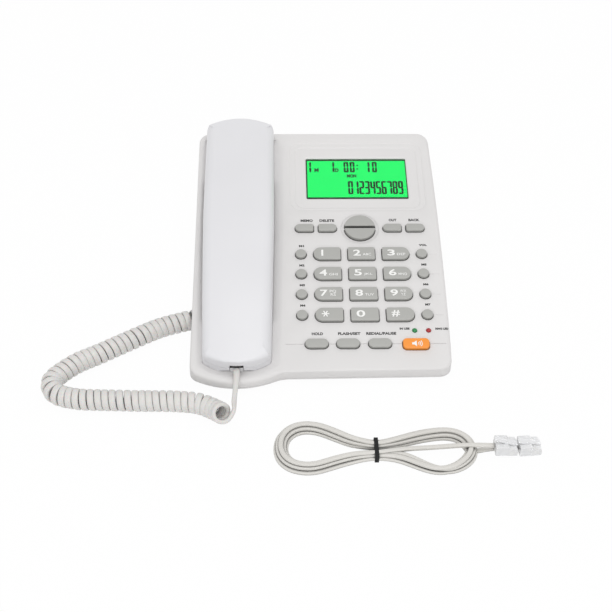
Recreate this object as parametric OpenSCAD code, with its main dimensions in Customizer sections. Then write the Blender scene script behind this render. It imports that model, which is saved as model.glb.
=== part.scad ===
// Corded landline telephone: a wedge-shaped base with a cradle at its left and a keypad and
// display at its right, a handset lying face down in the cradle, a curly handset cord and a
// tied-up line cord. Millimetres, +Z up, front toward -Y, origin on the table under the
// middle of the base and handset.

/* [Base] */
// Greatest width of the base
base_w = 158.5; // [156:0.5:162]
// Depth of the base, from its front bulge to its rear wall
base_d = 199.4; // [197:0.2:204]
// How far the right side bows out between its ends
side_bow = 1.2; // [0:0.2:3]
// How far the front edge runs back toward its right end
front_slant = 1.2; // [0:0.2:3]
// How far the front bulges out below the handset
bulge = 7.4; // [5:0.2:9]
// Radius of the front bulge in plan
bulge_r = 50.5; // [46:0.5:56]
// Radius of the base's rear corners
rear_r = 8; // [5:0.5:10]
// Radius of the base's front corners
front_r = 8; // [6:0.5:10]
// Height of the deck above the table at the front lip
front_h = 12; // [12:0.5:15]
// Slope of the deck in degrees
tilt = 11; // [10:0.5:12]
// Wall thickness of the base shells
wall = 2.2; // [1.8:0.1:2.6]
// Thickness of the deck plate
deck_t = 2; // [1.6:0.1:2]
// Height of the seam between the two base shells
seam_z = 6; // [5.8:0.1:6.4]
// Floor thickness of the bottom shell
floor_t = 2.4; // [2.2:0.1:2.6]
// How far the bottom shell is drawn in under the seam
recess = 4.2; // [3:0.2:4.4]
// Height of the bottom shell's edge under the seam
ledge = 0.8; // [0.6:0.1:1.2]
// Height of the rubber feet
foot_h = 2; // [1.5:0.1:2.5]
// Radius of the rubber feet
foot_r = 6; // [4:0.5:8]

/* [Keypad] */
// Distance from the base's right side to the middle column of the dial keys
pad_from_right = 52.1; // [52:0.1:54]
// Distance from the base's front to the top row of the dial keys
pad_from_front = 94.2; // [93:0.2:96]
// Spacing of the dial key columns
col_pitch = 21.9; // [21:0.1:22.1]
// Spacing of the dial key rows
row_pitch = 15.9; // [15.5:0.1:16.2]
// Width of a dial key
key_w = 17.4; // [17:0.1:18.8]
// Length of a dial key, front to back
key_d = 9.9; // [9.6:0.1:11.2]
// Height of the keys above the deck
key_rise = 1.8; // [1.2:0.1:2.4]
// Key travel
key_travel = 1.5; // [1:0.1:1.6]
// Clearance around each key in its hole
key_gap = 0.3; // [0.2:0.05:0.35]
// Diameter of the round memory keys
memory_d = 7; // [6.6:0.1:7.6]
// Distance of the memory key columns from the middle column
memory_x = 38.6; // [38.4:0.1:39.6]
// Width of a key in the row above the dial keys
menu_w = 12; // [11:0.1:13.1]
// Length of a key in the row above the dial keys
menu_d = 6; // [5.6:0.1:7.4]
// Diameter of the round navigation key
nav_d = 20; // [19:0.5:22]
// Width of the gap between the navigation key's halves
nav_split = 1.6; // [1.6:0.1:2]
// Width of a function key
func_w = 14.2; // [13:0.1:16]
// Length of a function key, front to back
func_d = 6.6; // [6.2:0.1:7.8]
// Width of the speakerphone key
spk_w = 16.2; // [15:0.1:17.4]
// Length of the speakerphone key
spk_d = 7.6; // [7:0.1:8.4]
// Diameter of the indicator lamps
led_d = 3; // [2.6:0.1:3.4]

/* [Display] */
// Width of the display window
window_w = 68; // [60:0.5:68]
// Length of the display window, front to back
window_d = 36.2; // [34:0.2:38]
// Distance from the top row of dial keys to the display's middle
window_y = 66.4; // [66:0.2:67]
// Width of the step around the display
bezel_w = 82.5; // [80:0.5:84]
// Length of the step around the display
bezel_d = 54.5; // [52:0.5:56]
// Depth of the step around the display
bezel_step = 1; // [0.6:0.1:1.2]
// Thickness of the LCD glass
lcd_t = 2.8; // [2:0.1:3]

/* [Handset] */
// Distance from the base's left side to the handset's middle
hs_from_left = 28.2; // [28:0.1:30]
// Width of the handset
hs_w = 45.4; // [44:0.2:46]
// Width of the handset at its lower end
hs_low_w = 41.4; // [40:0.2:43]
// Distance of the handset's lower end in front of the top row of dial keys
hs_front = 88.5; // [87:0.5:89]
// Distance of the handset's upper end behind the top row of dial keys
hs_rear = 108; // [106:0.2:108.4]
// Height of the handset's back above the deck
hs_crown = 19.5; // [18:0.5:22]
// Radius of the arch of the handset's back
hs_arch_r = 670; // [640:10:760]
// Wall thickness of the handset shells
hs_wall = 2.2; // [1.8:0.1:2.4]
// Height of the handset's seam above the deck
hs_seam = 3.5; // [3.2:0.1:3.8]
// Depth of the ear cup below the deck
ear_depth = 15; // [13:0.5:16]
// Clearance between the handset and its cradle
cradle_gap = 2.2; // [1.8:0.1:2.4]
// Depth of the cradle's tray below the deck
tray_depth = 4; // [3.6:0.1:4.4]
// Depth of the finger space under the grip
grip_depth = 12; // [10:0.5:12]
// Diameter of the earpiece capsule
ear_d = 26; // [22:0.5:27]
// Diameter of the microphone capsule
mic_d = 9.7; // [6:0.1:10]
// Travel of the hook plunger
hook_travel = 4; // [3:0.1:4]

/* [Jacks and cords] */
// Width of a four-pin handset plug
plug4_w = 7.65;
// Width of a six-pin line plug
plug6_w = 9.65;
// Height of both kinds of plug's body
plug_h = 6.6;
// Length of both kinds of plug
plug_l = 12.6; // [12:0.1:14]
// Clearance around a plug in its socket
plug_gap = 0.15; // [0.1:0.05:0.2]
// Outer diameter of the curly cord's coil
coil_d = 12.8; // [12:0.1:13.4]
// Thickness of the cords
cord_t = 3; // [2.6:0.1:3.4]

/* [Batteries and sound] */
// Diameter of a cell
cell_d = 10.5;
// Length of a cell
cell_l = 44.5;
// Number of cells
cells = 3; // [2:1:3]
// Travel of the battery door
door_travel = 12; // [8:1:14]
// Diameter of the loudspeaker
speaker_d = 50; // [40:1:52]
// Height of the loudspeaker
speaker_h = 12; // [8:1:14]

/* [Hidden] */
$fn = 48;
// ---- overall places ----
// The layout is drawn from the keypad's side; placed() then centres the base on the origin.
mid_x = -2.15;
mid_y = 0.8;
handset_overhang = 0.2;
left_x = mid_x - base_w / 2;
right_x = mid_x + base_w / 2;
front_y = mid_y - base_d / 2;
rear_y = mid_y + base_d / 2;
lip_y = front_y + bulge;
pad_x = right_x - pad_from_right;
pad_y = front_y + pad_from_front;
hs_x = left_x + hs_from_left;
deck_z = front_h + (pad_y - lip_y) * tan(tilt);
floor_z = foot_h + floor_t;
blend_r = 20;
far = 400;
touch = 0.01;
clear = 0.3;
// ---- keys ----
flange_out = 0.7;
flange_t = 1;
flange_top = deck_t + 0.2;
dome_h = 1.2;
dome_top = flange_top + flange_t + key_travel + 0.1;
mat_top = dome_top + dome_h;
mat_t = 1;
pcb_top = mat_top + mat_t;
pcb_t = 1.6;
post_r = 1.4;
post_end = pcb_top - key_travel - 0.1;
dome_r = 3;
nav_y = 21.6;
menu_y = 21.4;
func_y = -69;
func_line_y = -68.4;
func_line_x = -54;
func_line_w = 0.6;
func_line_d = 0.4;
spk_y = -69.6;
func_x = [-30.2, -11.2, 8.2];
spk_x = 30;
menu_in = 21;
menu_step = 15;
led_y = -59.2;
led_x = [29.9, 38.4];
round_end = key_d / 2 - 0.2;
corner = 1.2;
nav_r = nav_d / 2;
// Each key: name, x and y from the middle of the top row, width, length, left and right radius.
dial_names = ["1", "2", "3", "4", "5", "6", "7", "8", "9", "star", "0", "hash"];
memory_left = ["m1", "m2", "m3", "m4"];
memory_right = ["vol", "m5", "m6", "m7"];
menu_keys = [["memo", -menu_in - menu_step, 1], ["delete", -menu_in, 0],
             ["out", menu_in, 1], ["back", menu_in + menu_step, 0]];
func_names = ["hold", "flash", "redial"];
DIAL = [for (i = [0:11]) let (c = i % 3, r = floor(i / 3))
    [str("key_", dial_names[i]), (c - 1) * col_pitch, -r * row_pitch, key_w, key_d,
     c == 0 ? round_end : corner, c == 2 ? round_end : corner]];
MEMORY = [for (side = [0, 1], i = [0:3])
    [str("key_", side == 0 ? memory_left[i] : memory_right[i]), (2 * side - 1) * memory_x,
     -i * row_pitch, memory_d, memory_d, memory_d / 2, memory_d / 2]];
MENU = [for (k = menu_keys)
    [str("key_", k[0]), k[1], menu_y, menu_w, menu_d,
     k[2] == 1 ? menu_d / 2 - 0.1 : corner, k[2] == 0 ? menu_d / 2 - 0.1 : corner]];
FUNC = [for (i = [0:2])
    [str("key_", func_names[i]), func_x[i], func_y, func_w, func_d, func_d / 2 - 0.1, func_d / 2 - 0.1]];
SPEAKER = [["key_speaker", spk_x, spk_y, spk_w, spk_d, 2.6, 2.6]];
KEYS = concat(DIAL, MEMORY, MENU, FUNC, SPEAKER);
NAV = [["key_up", 1], ["key_down", -1]];
key_posts = concat([for (k = KEYS) [k[1], k[2]]], [for (s = [-1, 1]) [0, nav_y + s * nav_r / 2]]);
mat_front = -75.5;
mat_back = 34;
mat_half_w = 45;
// ---- display ----
window_gap = 0.2;
window_t = 1.2;
window_lip_t = 0.6;
window_lip = 1.5;
pad_under = bezel_step + window_t;
lcd_top = pad_under + window_lip_t;
holder_wall = 2;
lcd_margin = 3;
holder_floor = 2;
bezel_out = 4;
bezel_r = 8;
// ---- handset, in the deck's frame ----
hs_mid_y = 20;
mic_y = -66;
mic_back = -52;
ear_y = 81.5;
ear_front = 64;
ear_back = 99;
grip_under = 1.5;
mic_seat = -4;
ear_h = 6;
ear_floor = -ear_depth + hs_wall;
jack_h = 3;
hs_jack_y = -hs_front + hs_wall;
hs_corner = 5;
hs_edge = 1.5;
hs_end_r = 60;
hs_low_r = 33.7;
hs_shoulder = 2.5;
hs_low_shoulder = 3;
// ---- hook switch ----
hook_y = 54;
hook_w = 12;
hook_d = 7;
hook_top = grip_under - 0.2;
hook_flange = tray_depth + deck_t + clear + hook_travel;
hook_flange_t = 1.7;
spring_r = 3.6;
spring_wire = 0.35;
spring_l = 13;
spring_seat = hook_flange + hook_flange_t + spring_l;
spring_turns = 7;
switch_x = 9;
switch_top = hook_flange + hook_flange_t + clear;
switch_h = 6.5;
switch_row_y = pad_y + hook_y * cos(tilt) + (switch_top + switch_h) * sin(tilt);
switch_row_z = deck_z + hook_y * sin(tilt) - (switch_top + switch_h) * cos(tilt) - 1.2;
// ---- cradle ----
well_front = 93.5;
well_back = 53.5;
grip_front = -22;
grip_back = 46;
grip_w = 34;
tray_back = 100.5;
// ---- jacks ----
jack_wall = 1.4;
jack_l = 12.6;
plug_in = 11;
pocket_y = front_y + 57.4;
pocket_w = 17;
pocket_l = 10.9;
pocket_h = 14.5;
jack4_w = plug4_w + 2 * plug_gap + 2 * jack_wall;
jack6_w = plug6_w + 2 * plug_gap + 2 * jack_wall;
jack_block_h = plug_h + 2 * plug_gap + 2 * jack_wall;
line_x = -10;
jack_z = floor_z + jack_block_h / 2;
jack4_x = left_x + pocket_l;
jack4_top = floor_z + jack_block_h;
pocket_in = jack4_x - touch;
// ---- battery box, loudspeaker, screws and feet ----
cell_gap = 0.4;
// Each chip: x and y from the middle of the top row, width, length.
chips = [[0, 10, 14, 14], [0, -24, 16, 10], [22, -40, 8, 12], [-26, 12, 9, 6], [24, 14, 9, 6], [-24, -44, 10, 8]];
box_x = 0;
box_y = rear_y - 55.5;
box_w = cells * (cell_d + cell_gap) + cell_gap;
box_l = cell_l + 2 * cell_gap;
box_h = cell_d + 2 * cell_gap;
door_t = 1.4;
door_lap = 1.5;
tongue_t = 0.8;
tongue_out = 1.2;
speaker_x = 46;
speaker_y = rear_y - 50.5;
case_screws = [[left_x + 12.5, rear_y - 10.5], [right_x - 15, rear_y - 10.5],
    [hs_x + 33.2, lip_y + 7.5], [right_x - 8.5, lip_y + 8.5]];
board_screws = [[-32.6, -8], [32.6, -8], [-32.6, -55.6], [32.6, -55.6], [-18, 31], [18, 31]];
feet_at = [[left_x + 16.5, rear_y - 28.5], [right_x - 16.5, rear_y - 28.5],
    [left_x + 20.5, lip_y + 29.5], [right_x - 12.5, lip_y + 25.5]];
screw_r = 1.4;
screw_l = 7;
head_r = 2.8;
head_t = 1.6;
boss_r = 3.6;
// ---- cord routes, chosen by hand ----
coil_route = [[-80, -41.5, 6.7], [-84, -41.7, 6.7], [-90, -43.5, 6.7], [-103, -48, 6.7], [-121, -59, 6.7],
    [-137, -69.5, 6.7], [-148, -76, 6.7], [-157, -85, 6.7], [-161.5, -93, 6.7], [-158, -102, 6.7],
    [-145, -106.7, 6.7], [-126, -107.9, 6.7], [-108, -108.6, 6.7], [-92, -108.9, 6.7],
    [-80.5, -110.2, 6.7], [-74.3, -112, 6.7], [-69.2, -114.6, 6.9], [-65.7, -117.2, 7.6],
    [-63.2, -119.8, 8.6], [-61.6, -122, 10], [-60.8, -123.7, 11.4]];
hs_tail_route = [[-53.2, -91.6, 15.04], [-53.2, -94.05, 14.56], [-53.2, -97.4, 13.9], [-53.3, -101, 13.2],
    [-53.35, -105, 12.5], [-53.4, -109, 11.9], [-53.4, -113, 11.4], [-53.4, -117, 10.9], [-53.6, -119, 10.8],
    [-54.3, -120.1, 10.7]];
base_tail_route = [[-72.2, -41.5, 9.2], [-73.6, -41.5, 9.2], [-77.5, -41.5, 7.2], [-79.7, -41.5, 6.8]];
line_run_route = [[84, -144.8, 6.5], [88, -145, 6.6], [93.5, -145.4, 6.7]];
line_run2_route = [[84, -146, 1.6], [96, -144.6, 1.6], [105.3, -143.2, 1.6], [107.5, -143, 1.8]];
plug1_at = [93.8, -145.4, 6.7];
plug2_at = [108, -143, 3.4];
tie_x = 26.8;
tie_t = 0.9;
tie_w = 2.4;
tie_front = -151.5;
tie_back = -137.5;
hank_h = 5.4;
// Outlines of the tied hank: its two lobes and the eyes in them.
hank_outline = [[24, -137.5], [16, -131.5], [7, -126.5], [-4, -122.7], [-14, -121.4], [-23, -124],
    [-29, -131.5], [-31, -141], [-30, -148], [-26, -154.5], [-19, -160], [-10, -161.5], [3, -158.5],
    [15, -155], [24, -151.5], [29, -151.5], [34, -151.8], [46, -157.2], [53, -161], [62, -162.8],
    [72, -160.6], [79, -154.5], [83.5, -147], [83, -140], [78, -132.4], [71, -128.2], [64, -127.3],
    [48, -130], [38, -133.5], [29, -137.5]];
left_eye = [[13, -143.2], [6, -137.5], [-1, -133.3], [-8, -131.3], [-15, -131.9], [-22, -136.5],
    [-24.5, -142], [-24, -146], [-21, -149.6], [-15, -151.8], [-4, -149.7], [6, -146.5]];
right_eye = [[45, -145], [54, -139.5], [63, -137.6], [71, -137.6], [77, -140.5], [79.3, -146],
    [76, -152], [70, -155.6], [64, -156.3], [55, -153.4], [48, -149.4]];

case_white = [0.88, 0.87, 0.86];
handset_white = [0.91, 0.91, 0.93];
key_grey = [0.68, 0.68, 0.66];

// ---------------------------------------------------------------- helpers
module placed() translate([-mid_x, -mid_y - handset_overhang, 0]) children();

// Points of an arc about c.
function arc(c, r, a0, a1, n = 8) =
    [for (i = [0:n]) let (a = a0 + (a1 - a0) * i / n) [c[0] + r * cos(a), c[1] + r * sin(a)]];

// A rectangle about the origin with its own radius at the left and the right end.
function key_points(w, d, rl, rr) = concat(
    arc([w / 2 - rr, d / 2 - rr], rr, 0, 90, 6), arc([-w / 2 + rl, d / 2 - rl], rl, 90, 180, 6),
    arc([-w / 2 + rl, -d / 2 + rl], rl, 180, 270, 6), arc([w / 2 - rr, -d / 2 + rr], rr, 270, 360, 6));

module rounded(w, d, r) polygon(key_points(w, d, r, r));

// The deck's frame: X across, Y up the slope from the top row of dial keys, Z out of the deck.
module on_deck() translate([0, pad_y, deck_z]) rotate([tilt, 0, 0]) children();

// Everything deeper than d under the deck.
module below_deck(d) on_deck() translate([-far / 2, -far / 2, -far - d]) cube([far, far, far]);

// Everything above height z.
module above(z) translate([-far / 2, -far / 2, z]) cube([far, far, far]);

// A side profile in the deck's frame, given as [y, z] points and made w wide about x.
module side_cut(x, w) translate([x - w / 2, 0, 0]) rotate([90, 0, 90]) linear_extrude(w) children();

// A cylinder that hangs under the deck from depth top to depth bottom.
module drop(x, y, r, top, bottom)
    translate([x, y, -bottom]) cylinder(r = r, h = bottom - top);

// Direction of a route at point i, then a tube swept along it with n sides.
function unit(v) = v / norm(v);
function heading(p, i) = unit(p[min(i + 1, len(p) - 1)] - p[max(i - 1, 0)]);
function ring(p, i, r, n, up = [0, 0, 1]) = let (t = heading(p, i), s = unit(cross(t, up)), u = cross(s, t))
    [for (k = [0:n - 1]) p[i] + r * (cos(360 * k / n) * s + sin(360 * k / n) * u)];
module tube(p, r, n, up = [0, 0, 1]) {
    m = len(p);
    points = [for (i = [0:m - 1]) each ring(p, i, r, n, up)];
    sides = [for (i = [0:m - 2], k = [0:n - 1])
        [i * n + k, i * n + (k + 1) % n, (i + 1) * n + (k + 1) % n, (i + 1) * n + k]];
    ends = [[for (k = [n - 1:-1:0]) k], [for (k = [0:n - 1]) (m - 1) * n + k]];
    polyhedron(points, concat(sides, ends), convexity = 8);
}
// A route rounded off between its points, with n steps from each point to the next.
function spline(p, n) = concat([for (i = [0:len(p) - 2], k = [0:n - 1]) let (t = k / n,
    a = p[max(i - 1, 0)], b = p[i], c = p[i + 1], d = p[min(i + 2, len(p) - 1)])
    0.5 * (2 * b + (c - a) * t + (2 * a - 5 * b + 4 * c - d) * t * t
           + (3 * b - a - 3 * c + d) * t * t * t)], [p[len(p) - 1]]);

// ---------------------------------------------------------------- outlines
// The base in plan, drawn in by g.
corner_y = lip_y - bulge + bulge_r
    - sqrt(pow(bulge_r - front_r, 2) - pow(hs_x - left_x - front_r, 2));
bulge_y = front_y + bulge_r;
function bulge_left() = 180 + atan2(bulge_y - corner_y, hs_x - left_x - front_r);
// The bulge runs into the straight front through a hollow arc of radius blend_r.
blend_x = hs_x + sqrt(pow(bulge_r + blend_r, 2) - pow(bulge_r - bulge + blend_r, 2));
blend_a = 270 + asin((blend_x - hs_x) / (bulge_r + blend_r));
function base_points(g) = concat(
    arc([right_x - side_bow - rear_r, rear_y - rear_r], rear_r - g, 0, 90),
    arc([left_x + rear_r, rear_y - rear_r], rear_r - g, 90, 180),
    arc([left_x + front_r, corner_y], front_r - g, 180, bulge_left()),
    arc([hs_x, bulge_y], bulge_r - g, bulge_left() + 4, blend_a, 12),
    arc([blend_x, lip_y - blend_r], blend_r + g, blend_a - 180 - 5, 90, 5),
    arc([right_x - side_bow - front_r, lip_y + front_slant + front_r], front_r - g, 270, 360),
    [[right_x - g, mid_y]]);

// The handset in plan, in the deck's frame: two arched ends, each with rounded shoulders.
hs_r = hs_w / 2;
low_r = hs_low_w / 2;
function shoulder_a(r, half, end_r) = acos((half - r) / (end_r - r));
function hs_end(half, end_r, r) = let (a = shoulder_a(r, half, end_r), y = (end_r - r) * sin(a) - end_r) concat(
    arc([half - r, y], r, 0, a, 4), arc([0, -end_r], end_r, a, 180 - a, 12), arc([r - half, y], r, 180 - a, 180, 4));
function hs_plan() = concat(
    [for (p = hs_end(hs_r, hs_end_r, hs_shoulder)) [hs_x + p[0], hs_rear + p[1]]], [[hs_x - hs_r, hs_mid_y]],
    [for (p = hs_end(low_r, hs_low_r, hs_low_shoulder)) [hs_x - p[0], -hs_front - p[1]]],
    [[hs_x + hs_r, hs_mid_y]]);

// The handset from the side, as [y, z].
function back_h(y) = hs_crown - pow(y - hs_mid_y, 2) / (2 * hs_arch_r);
function hs_side() = concat(
    [[-hs_front, 2], [-hs_front + 3, -3.4], [mic_back - 5, -8.3], [mic_back - 2.5, -tray_depth],
     [mic_back + 2, grip_under], [ear_front - 1.5, grip_under], [ear_front, -ear_depth + 4],
     [ear_front + 2, -ear_depth], [ear_back - 3, -ear_depth], [ear_back, -ear_depth + 3],
     [ear_back, 0.8], [hs_rear, 2], [hs_rear, back_h(hs_rear) - hs_edge]],
    [for (i = [0:16]) let (y = hs_rear - hs_edge - (hs_rear + hs_front - 2 * hs_edge) * i / 16)
        [y, back_h(y)]],
    [[-hs_front, back_h(-hs_front) - hs_edge]]);

// ---------------------------------------------------------------- handset
module drawn_in(g) {
    if (g > 0) offset(delta = -g) children();
    else children();
}
module hs_solid(g) intersection() {
    side_cut(hs_x, hs_w + 20) drawn_in(g) polygon(hs_side());
    translate([0, 0, -far / 4]) linear_extrude(far / 2) drawn_in(g) polygon(hs_plan());
    translate([hs_x, far / 2, hs_crown + 1 - far / 8]) rotate([90, 0, 0])
        linear_extrude(far) drawn_in(g) rounded(hs_w, far / 4, hs_corner);
}
// Half of the handset's shell, above or below its seam.
module hs_half(upper) intersection() {
    difference() {
        hs_solid(0);
        hs_solid(hs_wall);
        plug_slot();
    }
    translate([-far / 2, -far / 2, upper ? hs_seam : hs_seam - far]) cube([far, far, far]);
}
module plug_slot() {
    translate([hs_x - plug4_w / 2 - clear, -hs_front - 5, jack_h - plug_h / 2 - clear])
        cube([plug4_w + 2 * clear, 9, plug_h + 2 * clear]);
    translate([hs_x - jack4_w / 2 - clear, hs_jack_y, jack_h - jack_block_h / 2])
        cube([jack4_w + 2 * clear, jack_l + clear, jack_block_h + clear]);
}

module handset_back_shell() color(handset_white) on_deck() hs_half(true);

module handset_face_shell() color(handset_white) on_deck() difference() {
    union() {
        hs_half(false);
        translate([hs_x, ear_y, ear_floor - touch]) difference() {
            cylinder(d = ear_d + 3, h = 5);
            translate([0, 0, -1]) cylinder(d = ear_d + 0.4, h = 9);
        }
        intersection() {
            translate([hs_x, mic_y, -12]) cylinder(d = mic_d + 4, h = 16);
            hs_solid(touch);
        }
    }
    translate([hs_x, mic_y, mic_seat]) cylinder(d = mic_d + 0.3, h = 20);
    for (a = [0:60:359]) translate([hs_x, ear_y, -ear_depth - 2]) rotate(a)
        translate([5, 0, 0]) cylinder(r = 1, h = 6, $fn = 20);
    translate([hs_x, ear_y, -ear_depth - 2]) cylinder(r = 1, h = 6, $fn = 20);
    for (i = [-1:1]) translate([hs_x + 3 * i, mic_y, -14]) cylinder(r = 0.8, h = 14, $fn = 20);
}

module earpiece_capsule() color([0.25, 0.25, 0.27]) on_deck() translate([hs_x, ear_y, ear_floor]) {
    cylinder(d = ear_d, h = ear_h);
    translate([0, 0, ear_h - touch]) cylinder(d = ear_d * 0.55, h = ear_h / 2);
}
module microphone_capsule() color([0.7, 0.7, 0.7]) on_deck()
    translate([hs_x, mic_y, mic_seat]) cylinder(d = mic_d, h = 6.5);

// A modular socket block about the origin, mouth toward -Y, with its mouth face at y = 0.
module socket(plug_w, w) difference() {
    translate([-w / 2, 0, -jack_block_h / 2]) cube([w, jack_l, jack_block_h]);
    translate([-plug_w / 2 - plug_gap, -1, -plug_h / 2 - plug_gap])
        cube([plug_w + 2 * plug_gap, plug_in + 1.2, plug_h + 2 * plug_gap]);
}
// A modular plug about the origin, nose at y = plug_in and cord end at -Y.
module plug(w) difference() {
    translate([-w / 2, plug_in - plug_l, -plug_h / 2]) cube([w, plug_l, plug_h]);
    translate([-w / 2 - 1, plug_in - 5, plug_h / 2 - 1.6]) cube([w + 2, 6, 3]);
    for (side = [-1, 1]) translate([side * w / 2 - 0.9, plug_in - plug_l - 1, plug_h / 2 - 2])
        cube([1.8, plug_l - 3, 3]);
}

module handset_jack() color([0.2, 0.2, 0.2]) on_deck()
    translate([hs_x, hs_jack_y, jack_h]) socket(plug4_w, jack4_w);
module handset_cord_plug() color([0.9, 0.95, 1, 0.5]) on_deck()
    translate([hs_x, hs_jack_y, jack_h]) plug(plug4_w);

// ---------------------------------------------------------------- base shells
module base_block(g) intersection() {
    translate([0, 0, seam_z]) linear_extrude(far / 4) polygon(base_points(g));
    below_deck(g > 0 ? deck_t : 0);
}
// The cradle's hollows, grown by g so that the same shape gives their walls.
module cradle(g) on_deck() {
    intersection() {
        translate([0, 0, -tray_depth - g]) linear_extrude(far / 4)
            offset(delta = cradle_gap + g) polygon(hs_plan());
        translate([-far / 2, -far / 2, -far / 2]) cube([far, far / 2 + tray_back + g, far]);
    }
    intersection() {
        translate([0, 0, -far / 2]) linear_extrude(far)
            offset(delta = cradle_gap + g) polygon(hs_plan());
        union() {
            side_cut(hs_x, far / 4) polygon([[-well_front - g, -3.7 - g], [-well_back + g, -9.8 - g],
                [-well_back + g, 2], [-well_front - g, 2]]);
            side_cut(hs_x, far / 4) polygon([[ear_front - 2.5 - g, -ear_depth - clear - g],
                [tray_back + g, -ear_depth - clear - g], [tray_back + g, 2], [ear_front - 2.5 - g, 2]]);
        }
    }
    translate([hs_x - grip_w / 2 - g, grip_front - g, -grip_depth - g])
        cube([grip_w + 2 * g, grip_back - grip_front + 2 * g, grip_depth + 4]);
}
// The pocket in the left side that the curly cord leaves from, grown by g.
module pocket(g) translate([left_x - 20, pocket_y - pocket_w / 2 - g, -1])
    cube([20 + pocket_l + g, pocket_w + 2 * g, pocket_h + 1 + g]);

module key_outline(k) polygon(key_points(k[3], k[4], k[5], k[6]));
module nav_half(side, r, split) intersection() {
    circle(r = r);
    translate([-r, side > 0 ? split / 2 : -r - 1]) square([2 * r, r + 1 - split / 2]);
}
module key_at(k) translate([pad_x + k[1], k[2], 0]) children();

module key_holes() on_deck() {
    for (k = KEYS) key_at(k) translate([0, 0, -far / 20]) linear_extrude(far / 10)
        polygon(key_points(k[3] + 2 * key_gap, k[4] + 2 * key_gap, k[5] + key_gap, k[6] + key_gap));
    for (s = [-1, 1]) translate([pad_x, nav_y, -far / 20]) linear_extrude(far / 10)
        nav_half(s, nav_r + key_gap, nav_split - 2 * key_gap);
    for (x = led_x) translate([pad_x + x, led_y, -far / 20])
        cylinder(d = led_d + 2 * 0.1, h = far / 10);
}
module display_opening() on_deck() translate([pad_x, window_y, 0]) {
    translate([0, 0, -bezel_step]) linear_extrude(20) rounded(bezel_w, bezel_d, bezel_r - 3);
    translate([0, 0, -20]) linear_extrude(40) rounded(window_w + 2 * window_gap, window_d + 2 * window_gap, 1);
}
module shell_supports() {
    cradle(wall);
    pocket(wall);
    on_deck() translate([pad_x, window_y, -pad_under]) linear_extrude(pad_under)
        rounded(bezel_w + bezel_out, bezel_d + bezel_out, bezel_r);
    on_deck() for (p = board_screws) drop(pad_x + p[0], p[1], 2, 0, pcb_top);
    for (p = case_screws) translate([p[0], p[1], seam_z]) cylinder(r = boss_r, h = far / 4);
}
module base_top_shell() color(case_white) difference() {
    base_block(0);
    difference() {
        base_block(wall);
        shell_supports();
    }
    cradle(0);
    pocket(0);
    key_holes();
    display_opening();
    on_deck() translate([hs_x, hook_y, -20]) linear_extrude(20)
        rounded(hook_w + 2 * clear, hook_d + 2 * clear, 1.5);
    on_deck() for (p = board_screws) drop(pad_x + p[0], p[1], 0.9, deck_t + 1, pcb_top + 1);
    for (p = case_screws) translate([p[0], p[1], 0]) cylinder(r = screw_r, h = foot_h + 1 + screw_l + clear);
    translate([line_x - plug6_w / 2 - 1, rear_y - wall - 2, jack_z - plug_h / 2 - 1])
        cube([plug6_w + 2, wall + 4, plug_h + 2]);
    translate([pocket_in, pocket_y - jack4_w / 2 - clear, -1]) cube([wall + 4, jack4_w + 2 * clear, jack4_top + 1 + clear]);
    on_deck() translate([pad_x + func_line_x, func_line_y, -func_line_d]) cube([far, func_line_w, 1]);
}

module base_bottom_shell() color(case_white) difference() {
    union() {
        translate([0, 0, foot_h]) linear_extrude(floor_t) polygon(base_points(recess));
        difference() {
            union() {
                translate([0, 0, floor_z - 0.4]) linear_extrude(seam_z - floor_z + 0.4) polygon(base_points(recess));
                translate([0, 0, seam_z - ledge]) linear_extrude(ledge) polygon(base_points(0));
            }
            translate([0, 0, floor_z]) linear_extrude(10) polygon(base_points(recess + wall));
        }
        translate([box_x - box_w / 2 - wall, box_y - box_l / 2 - wall, foot_h])
            cube([box_w + 2 * wall, box_l + 2 * wall, floor_t + box_h + wall]);
        for (p = case_screws) translate([p[0], p[1], foot_h]) cylinder(r = boss_r, h = seam_z - foot_h);
        intersection() {
            on_deck() drop(hs_x, hook_y, spring_r + 3, hook_flange + hook_flange_t + 6, 60);
            above(foot_h);
        }
        translate([hs_x + switch_x, switch_row_y - 5, foot_h]) cube([6, 10, switch_row_z - foot_h]);
        translate([speaker_x, speaker_y, foot_h]) cylinder(d = speaker_d + 4, h = floor_t + 4);
    }
    translate([box_x - box_w / 2, box_y - box_l / 2, foot_h - 1]) cube([box_w, box_l, floor_t + 1 + box_h]);
    translate([box_x - box_w / 2 - door_lap, box_y - box_l / 2 - door_lap, foot_h - 1])
        cube([box_w + 2 * door_lap, box_l + 2 * door_lap + door_travel, door_t + 1.2]);
    translate([box_x - box_w / 2 - door_lap - tongue_out - 0.2, box_y - box_l / 2 - door_lap, foot_h + 0.4])
        cube([box_w + 2 * (door_lap + tongue_out + 0.2), box_l + 2 * door_lap + door_travel, tongue_t + 0.2]);
    pocket(0);
    for (p = case_screws) translate([p[0], p[1], 0]) {
        cylinder(r = screw_r + 0.1, h = 20);
        cylinder(r = head_r + 0.2, h = foot_h + head_t + 0.2);
    }
    on_deck() {
        drop(hs_x, hook_y, spring_r + 0.6, 0, spring_seat);
        drop(hs_x, hook_y, 1.8, 0, spring_seat + hook_travel + 4);
    }
    translate([speaker_x, speaker_y, floor_z]) cylinder(d = speaker_d + 0.4, h = 20);
    translate([line_x - jack6_w / 2 - clear, rear_y - wall - jack_l - clear, floor_z])
        cube([jack6_w + 2 * clear, jack_l + 2 * clear, 20]);
    for (i = [-3:3]) translate([speaker_x + 6 * i - 1, speaker_y - 15, 0]) cube([2, 30, 20]);
    translate([line_x - plug6_w / 2 - 1, rear_y - wall - 2, jack_z - plug_h / 2 - 1])
        cube([plug6_w + 2, wall + 4, plug_h + 2]);
}
module rubber_feet() color([0.3, 0.3, 0.3])
    for (p = feet_at) translate([p[0], p[1], 0]) cylinder(r = foot_r, h = foot_h);

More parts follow.
